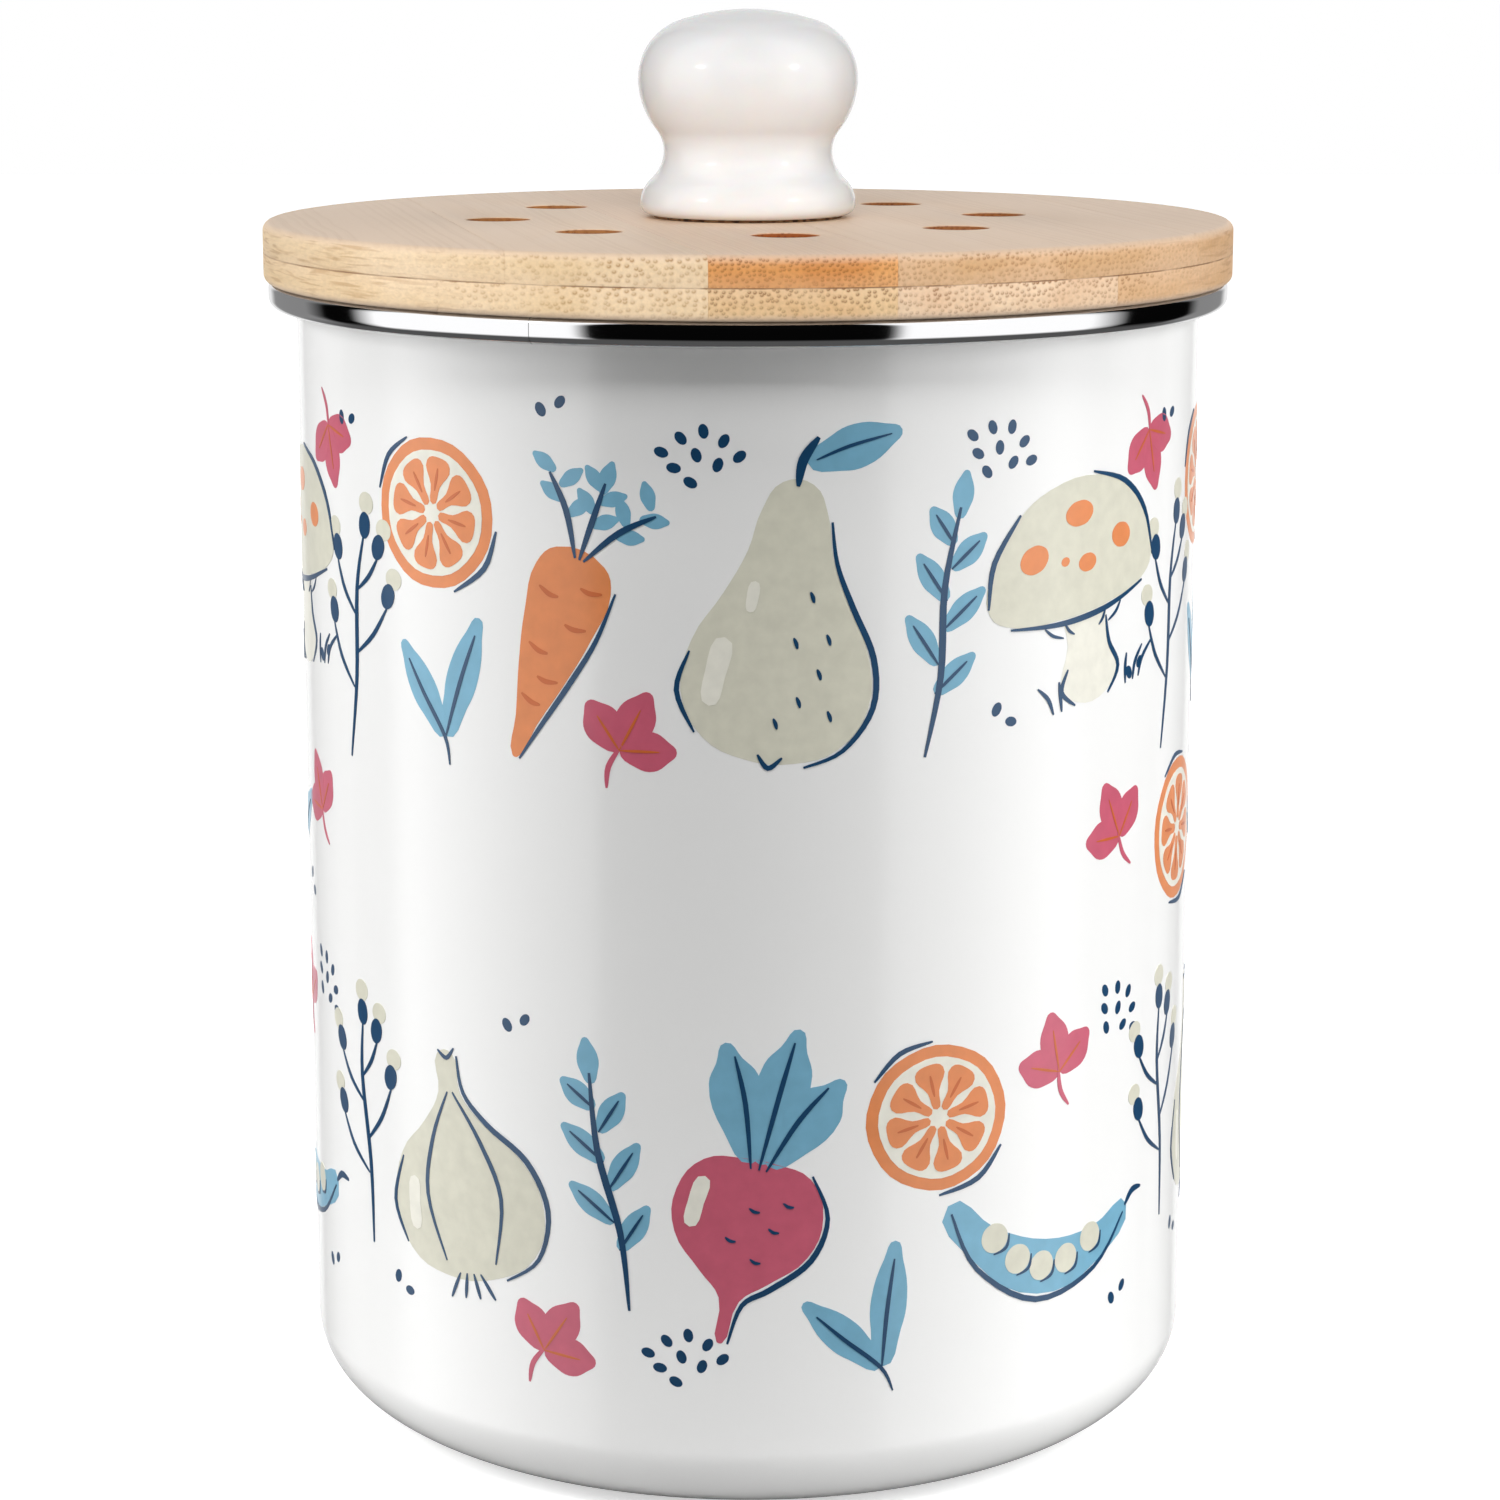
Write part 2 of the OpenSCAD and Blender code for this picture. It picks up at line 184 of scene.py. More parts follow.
drum_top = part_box("canister_shell")[1].z / MM
drum_r = 84.1
wall = 1.2
corner = 12.8
panel_r, panel_lift, panel_slope = 62, 1.6, 3
hem_r, hem_h, bend = 88.65, 3.6, 0.8
fold = hem_h / 2
hem_gap = hem_h - 2 * wall
hem_end_r = drum_r + 1.4
flat_r = drum_r - corner
drum = turned("enamel_drum", [
    (0, panel_lift), (panel_r, panel_lift), (panel_r + panel_slope, 0),
    *arc(flat_r, corner, corner, -90, 0, 16),
    *arc(drum_r + bend, drum_top - wall - bend, bend, 180, 90, 4),
    *arc(hem_r - fold, drum_top - fold, hem_gap / 2, 90, -90, 4),
    (hem_end_r, drum_top - fold - hem_gap / 2), (hem_end_r, drum_top - hem_h),
    *arc(hem_r - fold, drum_top - fold, fold, -90, 90, 10),
    *arc(drum_r + bend, drum_top - wall - bend, bend + wall, 90, 180, 6),
    *arc(flat_r, corner, corner - wall, 0, -90, 12),
    (panel_r + panel_slope, wall), (panel_r, panel_lift + wall), (0, panel_lift + wall)], steps=256)
fitted(drum, "canister", "canister_shell", enamel)


# Print: ceramic inks laid on the fired enamel as a transfer and fired again, so they are sunk in the
# gloss. Kitchen scraps and twigs go round the drum in three rows. The middle row leaves out a bare
# label at the front.

# An ink starts a little under the enamel's face, and each layer stands a step higher.
ink_under, ink_step = 0.04, 0.03
# The print repeats three times round the drum, and is cut in slices narrow enough to follow its curve.
tile_w = math.tau * drum_r / 3
slice_w = tile_w / 58
label_half, label_low, label_high = 76, 91, 136


def pick(*pieces):
    """Selects these pieces alone, and makes the first of them active."""
    bpy.ops.object.select_all(action="DESELECT")
    for piece in pieces:
        piece.select_set(True)
    bpy.context.view_layer.objects.active = pieces[0]


def edit(piece):
    """Goes into edit mode on one piece, with all of it selected."""
    pick(piece)
    bpy.ops.object.mode_set(mode="EDIT")
    bpy.ops.mesh.select_all(action="SELECT")


def own_copy(piece):
    """A copy with a mesh of its own."""
    made = piece.copy()
    made.data = piece.data.copy()
    bpy.context.collection.objects.link(made)
    return made


def outlined(points, ink, layer=0, smooth=True):
    """A filled flat shape of one ink, drawn through points in millimetres and as thick as its layer."""
    curve = bpy.data.curves.new("shape", "CURVE")
    curve.dimensions, curve.fill_mode = "2D", "BOTH"
    curve.resolution_u = 4
    line = curve.splines.new("BEZIER" if smooth else "POLY")
    knots = line.bezier_points if smooth else line.points
    knots.add(len(points) - 1)
    for knot, (x, z) in zip(knots, points):
        knot.co = (x * MM, z * MM, 0) if smooth else (x * MM, z * MM, 0, 1)
        if smooth:
            knot.handle_left_type = knot.handle_right_type = "AUTO"
    line.use_cyclic_u = True
    top = ink_step * (layer + 1)
    curve.extrude = (top + ink_under) / 2 * MM
    shape = bpy.data.objects.new("shape", curve)
    shape.location.z = (top - ink_under) / 2 * MM
    bpy.context.collection.objects.link(shape)
    shape.data.materials.append(inks[ink])


def both_sides(half):
    """A closed outline from its right half, drawn from the top down."""
    return half + [(-x, z) for x, z in reversed(half)]


def stroke(points, width, ink="navy", layer=2):
    """A pen stroke through points, which swells in its middle and thins to both ends."""
    fine, steps = [], 5
    held = [points[0], *points, points[-1]]
    for before, start, end, after in zip(held, held[1:], held[2:], held[3:]):
        for k in range(steps):
            t = k / steps
            fine.append([0.5 * (2 * b + (c - a) * t + (2 * a - 5 * b + 4 * c - d) * t * t
                                + (3 * b - a - 3 * c + d) * t ** 3)
                         for a, b, c, d in zip(before, start, end, after)])
    fine.append(points[-1])
    left, right = [], []
    for i, (x, z) in enumerate(fine):
        (x0, z0), (x1, z1) = fine[max(i - 1, 0)], fine[min(i + 1, len(fine) - 1)]
        length = math.hypot(x1 - x0, z1 - z0)
        half = width / 2 * (0.35 + 0.65 * math.sin(math.pi * i / (len(fine) - 1)))
        nx, nz = (z0 - z1) / length * half, (x1 - x0) / length * half
        left.append((x + nx, z + nz))
        right.append((x - nx, z - nz))
    outlined(left + right[::-1], ink, layer, smooth=False)


def leaf(x, z, angle, length, width, ink, layer=0, tip=0.55):
    """A leaf or a drop that starts at a point and grows at an angle from straight up to the right."""
    a = math.radians(angle)
    half = [(0, 0), (0.3, width * 0.42), (tip, width * 0.5), (0.85, width * 0.27), (1, 0)]
    outline = [(u * length, w) for u, w in half] + [(u * length, -w) for u, w in half[-2:0:-1]]
    outlined([(x + u * math.sin(a) + w * math.cos(a), z + u * math.cos(a) - w * math.sin(a))
              for u, w in outline], ink, layer)


def oval(x, z, width, height, ink, layer=0, turn=0):
    """An ellipse through eight points."""
    eighths = [k * math.pi / 4 for k in range(8)]
    rim = [(width / 2 * math.cos(a), height / 2 * math.sin(a)) for a in eighths]
    c, s = math.cos(math.radians(turn)), math.sin(math.radians(turn))
    outlined([(x + u * c - v * s, z + u * s + v * c) for u, v in rim], ink, layer)


def ray(x, z, angle, *reaches):
    """Points at these distances from a start, at an angle from straight up to the right."""
    a = math.radians(angle)
    return [(x + reach * math.sin(a), z + reach * math.cos(a)) for reach in reaches]


def pear():
    outlined(both_sides([
        (2.6, 23), (5.6, 18), (7.2, 11), (10.5, 3.5), (15, -5), (16, -14), (11.5, -21.5), (4, -24.5)]),
        "greige")
    outlined([(-9.5, -4), (-12.2, -10), (-11, -16), (-8.8, -11)], "cream", 1)
    outlined([(-5.4, 6), (-6.6, 3), (-5.8, 0.6), (-4.6, 3)], "cream", 1)
    stroke([(6.4, 17), (8, 10), (11.4, 3), (16, -5.5), (16.8, -14), (12.4, -21.6), (6, -25)], 1.1)
    stroke([(-15.2, -7), (-16.7, -14), (-13, -20.8)], 0.9)
    stroke([(0, 22.5), (0.4, 27), (2.6, 31)], 1.7)
    stroke([(-2, -23.4), (0, -25.6), (2.2, -23.6)], 0.9)
    for x, z in ((2, -3), (6.5, -8), (3.5, -13), (9, -15), (7.5, -2), (0, -17), (4, 5)):
        stroke([(x, z), (x + 0.5, z - 0.9), (x + 0.8, z - 1.8)], 0.7)
    leaf(1.2, 26.5, 66, 17, 7.4, "sky")
    stroke([(2.6, 27.2), (8, 30), (15, 32.6)], 0.6)


def mushroom():
    outlined(both_sides([(5, -4), (5.2, -11), (7.4, -18), (4, -21.4)]), "cream")
    outlined(both_sides([
        (6, 17.2), (13.6, 13.6), (19.4, 7), (21.5, -1.4), (17, -4.6), (8, -5.8)]), "greige", 1)
    for x, z, w, h in (
            (-11, 6, 6.4, 4.8), (0.5, 11.6, 7, 4.4), (11.5, 5, 5.6, 4.4), (1.5, 2.6, 4.6, 3.2),
            (-4, 4, 2, 1.6)):
        oval(x, z, w, h, "orange", 2, turn=-x)
    stroke([(-21.6, -0.4), (-19.4, 7.4), (-13, 14.4)], 1.0, layer=3)
    stroke([(22, -1.4), (19.9, 7.4), (13.8, 14.2), (5, 18)], 1.1, layer=3)
    stroke([(-17.5, -4.9), (-8, -6.4), (0, -6.8), (8, -6.4), (17.5, -4.9)], 1.1, layer=3)
    for x in (-12, -6.5, 6.5, 12):
        stroke([(x * 0.84, -6.6), (x * 0.7, -8.2), (x * 0.5, -9.2)], 0.6)
    stroke([(5.4, -8), (5.8, -13), (8, -18), (4.4, -22)], 1.0)
    stroke([(-5.6, -15), (-7.6, -18.6), (-4.6, -21.8)], 0.9)
    for x, lean in ((-10, -3), (-8, 0), (10, 1), (12.5, 4), (14.5, 6)):
        stroke([(x, -22), (x + lean * 0.3, -19), (x + lean, -16.6)], 0.8)


def garlic():
    outlined(both_sides([
        (1.8, 22), (2.6, 15), (7, 9.5), (14.5, 3), (17.6, -6), (14.5, -14.5), (6, -18.6)]), "greige")
    outlined([(-11.5, -1), (-13.8, -6), (-12.4, -11), (-10.8, -6)], "cream", 1)
    stroke([(-0.4, 15), (-5.4, 6.4), (-8.4, -4), (-5.4, -16)], 0.9)
    stroke([(0.8, 15), (5.8, 6.4), (9, -4), (6, -16)], 0.9)
    stroke([(2.8, 21.6), (3.4, 15), (8, 9.4), (15.4, 3), (18.4, -6), (15.2, -14.8), (8, -18.8)], 1.1)
    stroke([(-14.2, 2.4), (-18, -6), (-15.4, -13.6)], 0.9)
    stroke([(-1.6, 22.6), (0.4, 21.2), (2.4, 23)], 0.8)
    for x in (-4, -1.4, 1.2, 3.8):
        stroke([(x * 0.6, -18), (x, -20.6), (x * 1.3, -22.6)], 0.7)


def carrot():
    outlined(both_sides([(4.6, 12.5), (7.2, 8.5), (6.6, 0), (4.7, -9), (2.2, -18), (0.5, -25)]), "orange")
    for x, z, way in ((-5.4, 5, 1), (5.2, 1, -1), (-4, -5, 1), (3.4, -9.5, -1), (-2.4, -14, 1), (5.8, 8, -1)):
        stroke([(x, z), (x + way * 2.2, z - 0.7), (x + way * 4, z - 0.5)], 0.9, "terracotta", 1)
    stroke([(7.9, 9), (7.4, 0), (5.4, -9), (2.9, -18), (1, -25)], 1.0)
    for lean in (-10, 0, 10):
        stroke([(lean * 0.08, 12), (lean * 0.5, 19), (lean, 26 - abs(lean) * 0.2)], 1.1)
        for step, side in ((0.45, 1), (0.6, -1), (0.75, 1), (0.9, -1)):
            leaf(lean * step, 12 + 14 * step, lean * 2 + side * 55, 5.2, 2.6, "sky")
    leaf(0, 24, 0, 6, 3, "sky")


def beet():
    outlined(both_sides([
        (3, 9.6), (9.4, 8), (13, 1.6), (11.8, -6), (6, -12), (1.8, -16), (0.5, -24)]), "rose")
    outlined([(-8.6, 5), (-10.6, 0), (-9.4, -4.6), (-7.8, 0)], "cream", 1)
    stroke([(9.6, 8.6), (13.8, 1.6), (12.5, -6.4), (6.6, -12.8), (2.4, -16.6), (1.4, -24)], 1.1)
    for x, z in ((0, 1), (4, -2), (-3, -5), (2, -8), (5.6, 3)):
        stroke([(x, z), (x + 1, z - 0.5), (x + 2, z - 0.4)], 0.6)
    for lean, length in ((-24, 22), (4, 25), (30, 20)):
        leaf(lean * 0.05, 9, lean, length, 8.6, "sky", 0, 0.7)
        stroke([(lean * 0.05, 8), *ray(0, 9, lean, length * 0.5, length * 0.9)], 0.9)


def citrus():
    oval(0, 0, 27, 26, "orange")
    oval(0, 0, 22.6, 21.8, "cream", 1)
    for angle in range(12, 372, 45):
        a = math.radians(angle)
        wedge = [(1.6, 0), (5, 0.22), (9.2, 0.3), (9.9, 0), (9.2, -0.3), (5, -0.22)]
        outlined([(r * math.sin(a + turn), r * math.cos(a + turn)) for r, turn in wedge], "orange", 2)
        stroke(ray(0, 0, angle, 4, 6, 8), 0.6, "terracotta", 3)
    stroke([(14.2, -2), (11.6, -8.6), (5, -13.2)], 1.0)
    stroke([(-13.9, 3), (-11.2, 9), (-6, 12.6)], 0.9)


def pod():
    outlined([(-23, 7), (-15, -3), (0, -8.4), (15, -3), (23, 7), (12, 3.4), (0, 1.6), (-12, 3.4)], "sky")
    for x in (-12, -6, 0, 6, 12):
        rise = x * x * 0.034
        oval(x, -3.2 + rise, 5.6, 5.4, "greige", 1)
        stroke([(x + 0.4, -6.2 + rise), (x + 2.9, -4.8 + rise), (x + 3, -2.2 + rise)], 0.6)
    stroke([(-22, 5.6), (-14.6, -4), (0, -9.4), (14.6, -4), (22, 5.6)], 1.1)
    stroke([(22.4, 6.8), (24.6, 9.4), (28, 10)], 1.3)


def leafy_twig():
    stroke([(0, -24), (0.9, -10), (-0.6, 5), (0.4, 19)], 1.3)
    for z, side, length in (
            (-13, 1, 10), (-8, -1, 10.6), (-2, 1, 10.4), (3, -1, 10), (8.4, 1, 8.8), (12.6, -1, 8)):
        leaf(0.2, z, side * 42, length, 4.4, "sky")
        stroke(ray(0.2, z, side * 42, 0, length * 0.4, length * 0.8), 0.6)
    leaf(0.4, 17, 2, 8.4, 4, "sky")


def berry_twig():
    stroke([(0, -23), (1, -8), (0, 8), (1.6, 18)], 1.2)
    for z, side, reach in ((-10, -1, 9), (-4, 1, 10), (3, -1, 8), (8, 1, 6.4)):
        x, top = side * reach, z + reach * 1.1
        stroke([(0.3, z), (x * 0.6, z + reach * 0.5), (x, top)], 0.9)
        oval(x, top + 2, 3.6, 4.8, "navy", 2, turn=-side * 20)
        oval(x + side * 1.4, top + 5.4, 4.4, 3.8, "greige", 1)
    oval(1.8, 20, 3.6, 4.8, "navy", 2)
    oval(2, 24, 4.6, 4, "greige", 1)


def leaf_pair():
    leaf(0, -9, -24, 19, 6.2, "sky")
    leaf(0, -9, 30, 23, 6.6, "sky")
    stroke([(0, -14), (-0.2, -9), (-4, -1), (-6.6, 5)], 0.8)
    stroke([(0, -9), (5, 0), (10, 8)], 0.8)


def trefoil():
    for angle, length in ((-58, 10), (4, 11.5), (66, 10)):
        leaf(0, 0, angle, length, 6.8, "rose", 0, 0.6)
        stroke(ray(0, 0, angle, 0, length * 0.35, length * 0.7), 0.5, "terracotta", 1)
    stroke([(0, 1), (-0.6, -3.4), (0.6, -7)], 1.0, "rose", 1)


def seeds():
    for x, z, turn in (
            (-5.5, 1, 70), (-2.2, 3.4, 40), (1.6, 4.6, 10), (5, 3, -30), (-3.4, -1.6, 80), (0.4, 0.6, 20),
            (4, -1, -20), (-0.6, -4, 60), (7.6, 0.4, -50)):
        oval(x, z, 1.7, 2.5, "navy", 0, turn=turn)


def pips():
    oval(-1.8, -0.6, 1.8, 2.6, "navy", 0, turn=30)
    oval(1.8, 0.8, 1.7, 2.4, "navy", 0, turn=-40)


# Fired ceramic inks: even, opaque and a little less glossy than the bare enamel, with the faint
# mottle of a screened layer.
inks = {}
for ink, colour in (("greige", "#d3d1c0"), ("cream", "#e6e4d8"), ("navy", "#123f63"), ("orange", "#dd8650"),
                    ("terracotta", "#c4632f"), ("sky", "#74abc5"), ("rose", "#c35a70")):
    inks[ink], shader = material(f"fired_ink_{ink}", colour, 0.3, Coat_Weight=0.4, Coat_Roughness=0.08)
    place = node(inks[ink], "ShaderNodeTexCoord")
    screen = node(inks[ink], "ShaderNodeTexNoise", {
        "Vector": place.outputs["Object"], "Scale": 1 / (3 * MM), "Detail": 4})
    density = node(inks[ink], "ShaderNodeMapRange", {
        "Value": screen.outputs["Fac"], "From Min": 0.3, "From Max": 0.7, "To Min": 0.94, "To Max": 1.04})
    laid = node(inks[ink], "ShaderNodeMix", {0: 1.0, 6: linear(colour), 7: density.outputs["Result"]},
                data_type="RGBA", blend_type="MULTIPLY")
    join(inks[ink], laid.outputs[2], shader.inputs["Base Color"])

# Each motif's places on a tile: millimetres to the right of its middle, height, and turn in degrees.
places = {
    pear: [(6, 161, 6)],
    mushroom: [(64, 164, -8)],
    citrus: [(-59, 176, 0), (34, 72, 20), (-73, 112, 40)],
    carrot: [(-33, 159, 20)],
    garlic: [(-55, 58, -8)],
    beet: [(0, 57, 12)],
    pod: [(57, 44, 12), (-38, 114, -20), (20, 114, 14)],
    leafy_twig: [(34, 160, 8), (-25, 62, -10)],
    berry_twig: [(-82, 152, 6), (-82, 62, -6)],
    leaf_pair: [(-58, 146, -10), (52, 112, 24), (20, 36, -24)],
    trefoil: [(-22, 138, 24), (84, 188, 160), (-37, 29, 30), (60, 76, -16), (-8, 106, 10), (76, 116, -30)],
    seeds: [(-9, 188, 0), (44, 188, 20), (-12, 30, 0), (76, 84, 40), (-6, 124, 0)],
    pips: [(-34, 196, 0), (46, 142, 60), (-84, 190, 20), (-42, 88, 0), (16, 92, 40), (78, 30, 0),
           (-70, 34, 50), (80, 146, 0), (-54, 124, 10), (66, 100, 70)],
}
drawn = []
for motif, spots in places.items():
    before = set(bpy.data.objects)
    motif()
    shapes = [made for made in bpy.data.objects if made not in before]
    pick(*reversed(shapes))
    bpy.ops.object.convert(target="MESH")
    bpy.ops.object.join()
    bpy.ops.object.transform_apply(location=True)
    master = bpy.context.object
    reach = max(math.hypot(v.co.x, v.co.y) for v in master.data.vertices) / MM
    for s, z, turn in spots:
        flat = own_copy(master)
        flat.location = (s * MM, z * MM, 0)
        flat.rotation_euler.z = math.radians(-turn)
        pick(flat)
        bpy.ops.object.transform_apply(location=True, rotation=True)
        edit(flat)
        for cut in range(math.ceil((s - reach) / slice_w), math.floor((s + reach) / slice_w) + 1):
            bpy.ops.mesh.select_all(action="SELECT")
            bpy.ops.mesh.bisect(plane_co=(cut * slice_w * MM, 0, 0), plane_no=(1, 0, 0))
        bpy.ops.object.mode_set(mode="OBJECT")
        on_label = abs(s) < label_half and label_low < z < label_high
        for tile in (-1, 1) if on_label else (-1, 0, 1):
            printed = own_copy(flat)
            for vertex in printed.data.vertices:
                bearing = (vertex.co.x / MM + tile * tile_w) / drum_r
                r = drum_r * MM + vertex.co.z
                vertex.co = (r * math.sin(bearing), -r * math.cos(bearing), vertex.co.y)
            drawn.append(printed)
        bpy.data.objects.remove(flat)
    bpy.data.objects.remove(master)
pick(*drawn)
bpy.ops.object.join()
edit(drawn[0])
bpy.ops.mesh.remove_doubles(threshold=0.001 * MM)
bpy.ops.mesh.normals_make_consistent(inside=False)
bpy.ops.mesh.separate(type="MATERIAL")
bpy.ops.object.mode_set(mode="OBJECT")
bpy.ops.object.shade_smooth_by_angle(angle=math.radians(40))
for layer in list(bpy.context.selected_objects):
    layer.name = layer.data.materials[0].name.replace("fired_ink", "print")
    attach(layer, "canister")


# Rim trim: a strip of stainless steel, rolled into a channel, sprung round the drum's hem and
# crimped, then polished. Its ends meet in a butt seam at the front left.

rim_r, rim_h, rim_t = 89.2, 4.6, 0.5
rim_top = drum_top + rim_t
top_round, low_round = 1.1, 1.8
grip_r, low_grip_r = hem_r - 3.2, hem_r - 2.8
trim = turned("steel_trim", [
    (grip_r, rim_top),
    *arc(rim_r - top_round, rim_top - top_round, top_round, 90, 0, 6),
    *arc(rim_r - low_round, rim_top - rim_h + low_round, low_round, 0, -90, 8),
    (low_grip_r, rim_top - rim_h), (low_grip_r, drum_top - hem_h),
    *arc(rim_r - low_round, rim_top - rim_h + low_round, low_round - rim_t, -90, 0, 4),
    *arc(rim_r - top_round, rim_top - top_round, top_round - rim_t, 0, 90, 4),
    (grip_r, drum_top), (grip_r, rim_top)], steps=256)
seam_angle, seam_gap, saw_size = math.radians(24), 0.1, 12
bpy.ops.object.select_all(action="DESELECT")
bpy.ops.mesh.primitive_cube_add(
    size=MM, location=(-rim_r * math.sin(seam_angle) * MM, -rim_r * math.cos(seam_angle) * MM, rim_top * MM),
    rotation=(0, 0, -seam_angle), scale=(seam_gap, saw_size, saw_size))
saw = bpy.context.object
cut = trim.modifiers.new("seam", "BOOLEAN")
cut.object = saw
cut.solver = "MANIFOLD"
pick(trim)
bpy.ops.object.modifier_apply(modifier="seam")
bpy.data.objects.remove(saw)
# Polished stainless steel: a nearly perfect mirror, which shows its surroundings as hard bands.
steel, shader = material("polished_stainless_steel", "#e2e2e3", 0.06, Metallic=1.0)
fitted(trim, "canister", "rim_band", steel)


# Knob: slip-cast ceramic, dipped in clear glaze and fired. It has a flared foot, a waist to hold it
# by and a round head, and it sits on a thin pad in the lid's middle.

knob_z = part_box("knob_pad")[1].z / MM
foot_d, neck_d, head_d, knob_h = 40.2, 31.4, 40.8, 37.8
neck_arc = 6.5
neck_x, neck_z = neck_d / 2 + neck_arc, knob_z + 11.7
foot_z, head_z, top_z = knob_z + 2.1, knob_z + 25.1, knob_z + knob_h
shoulder = 11.2


def blend_radius(half_width, height):
    """Radius of an arc that is this wide at this height and just meets the neck's arc."""
    gap = neck_x - half_width
    return (gap ** 2 + (neck_z - height) ** 2 - neck_arc ** 2) / (2 * (neck_arc - gap))


foot_arc, head_arc = blend_radius(foot_d / 2, foot_z), blend_radius(head_d / 2, head_z)
foot_x, head_x, shoulder_x = foot_d / 2 - foot_arc, head_d / 2 - head_arc, head_d / 2 - shoulder
rise = top_z - head_z
crown = (shoulder_x ** 2 + rise ** 2 - shoulder ** 2) / (2 * (rise - shoulder))
foot_meet = math.degrees(math.atan2(neck_z - foot_z, neck_x - foot_x))
head_meet = math.degrees(math.atan2(head_z - neck_z, neck_x - head_x))
crown_meet = math.degrees(math.atan2(head_z - top_z + crown, shoulder_x))
edge = foot_z - knob_z
knob = turned("ceramic_knob", [
    (0, knob_z),
    *arc(foot_d / 2 - edge, foot_z, edge, -90, 0, 8),
    *arc(foot_x, foot_z, foot_arc, 6, foot_meet, 10),
    *arc(neck_x, neck_z, neck_arc, 180 + foot_meet, 180 - head_meet, 16),
    *arc(head_x, head_z, head_arc, -head_meet, 0, 14)[1:],
    *arc(shoulder_x, head_z, shoulder, 6, crown_meet, 14),
    *arc(0, top_z - crown, crown, crown_meet + 1, 90, 12)], steps=128)
# Clear-glazed ceramic: a smooth white body under clear glass, which gives it soft light inside and
# small sharp glints.
glaze, shader = material(
    "clear_glazed_ceramic", "#eeeeef", 0.16, Specular_IOR_Level=0.25, Coat_Weight=0.25, Coat_Roughness=0.06,
    Subsurface_Weight=0.12, Subsurface_Scale=0.004)
place = node(glaze, "ShaderNodeTexCoord")
pooled = node(glaze, "ShaderNodeTexNoise", {
    "Vector": place.outputs["Object"], "Scale": 1 / (12 * MM), "Detail": 1})
tint = node(glaze, "ShaderNodeMix", {
    0: pooled.outputs["Fac"], 6: linear("#f0f1f3"), 7: linear("#f6f4f2")}, data_type="RGBA")
join(glaze, tint.outputs[2], shader.inputs["Base Color"])
bump = node(glaze, "ShaderNodeBump", {"Height": pooled.outputs["Fac"], "Strength": 0.1, "Distance": 0.3 * MM})
join(glaze, bump.outputs["Normal"], shader.inputs["Normal"])
fitted(knob, "lid", "knob", glaze)


# Bamboo lid: two plies of flat-pressed strips. The strips of a ply are edge-glued, the plies are
# glued face to face, and the blank is turned round, drilled and sanded, so its edge shows cut fibre
# ends at the front and long fibres at the sides.

ply_low, ply_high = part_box("upper_strip_3")
lid_r = 90
lid_top, glue_z, glue_line = ply_high.z / MM, ply_low.z / MM, 0.26
lid_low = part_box("lower_strip_3")[0].z / MM
ply_t = lid_top - glue_z
top_edge, low_edge, glue_edge = 1.6, 1.4, 0.09
upper_joints = [None, -56, -25, 6, 37, 68, None]
lower_joints = [None, -66, -25, 6, 48, None]
fibre_angle = math.radians(12)
across = Vector((math.cos(fibre_angle), math.sin(fibre_angle), 0))
along = Vector((-math.sin(fibre_angle), math.cos(fibre_angle), 0))
vent_r, vent_circle_r, vent_count, vent_angle, vent_ease = 6, 46.7, 8, math.radians(8), 0.4
screw_hole_r, counterbore_r = 2.8, 10
pilot_r, pilot_circle_r, pilot_count, pilot_angle, pilot_depth = 1.55, 58.2, 3, math.radians(40), 7.05
drilled_r = 62


def round_the_lid(count, start, radius):
    """Places on a circle in the lid, counted from its front to the right, in metres."""
    turns = [start + i * math.tau / count for i in range(count)]
    return [Vector((math.sin(a), -math.cos(a), 0)) * radius * MM for a in turns]


def drills():
    """All the drills in one mesh: eased vents, the knob screw's hole and counterbore, and pilot holes."""
    tools = []
    start, end, pilot_end = lid_low - 1, lid_top + 1, lid_low + pilot_depth
    for place in round_the_lid(vent_count, vent_angle, vent_circle_r):
        tools.append(turned("drill", [
            (0, start), (vent_r, start), (vent_r, lid_top - vent_ease),
            *arc(vent_r + vent_ease, lid_top - vent_ease, vent_ease, 180, 90, 4),
            (vent_r + vent_ease, end), (0, end)], steps=48))
        tools[-1].location = place
    for place in round_the_lid(pilot_count, pilot_angle, pilot_circle_r):
        tools.append(turned("drill", [
            (0, start), (pilot_r, start), (pilot_r, pilot_end), (0, pilot_end)], steps=24))
        tools[-1].location = place
    tools.append(turned("drill", [
        (0, start), (counterbore_r, start), (counterbore_r, glue_z), (screw_hole_r, glue_z),
        (screw_hole_r, end), (0, end)], steps=48))
    pick(*tools)
    bpy.ops.object.join()
    bpy.ops.object.transform_apply(location=True)
    return bpy.context.object


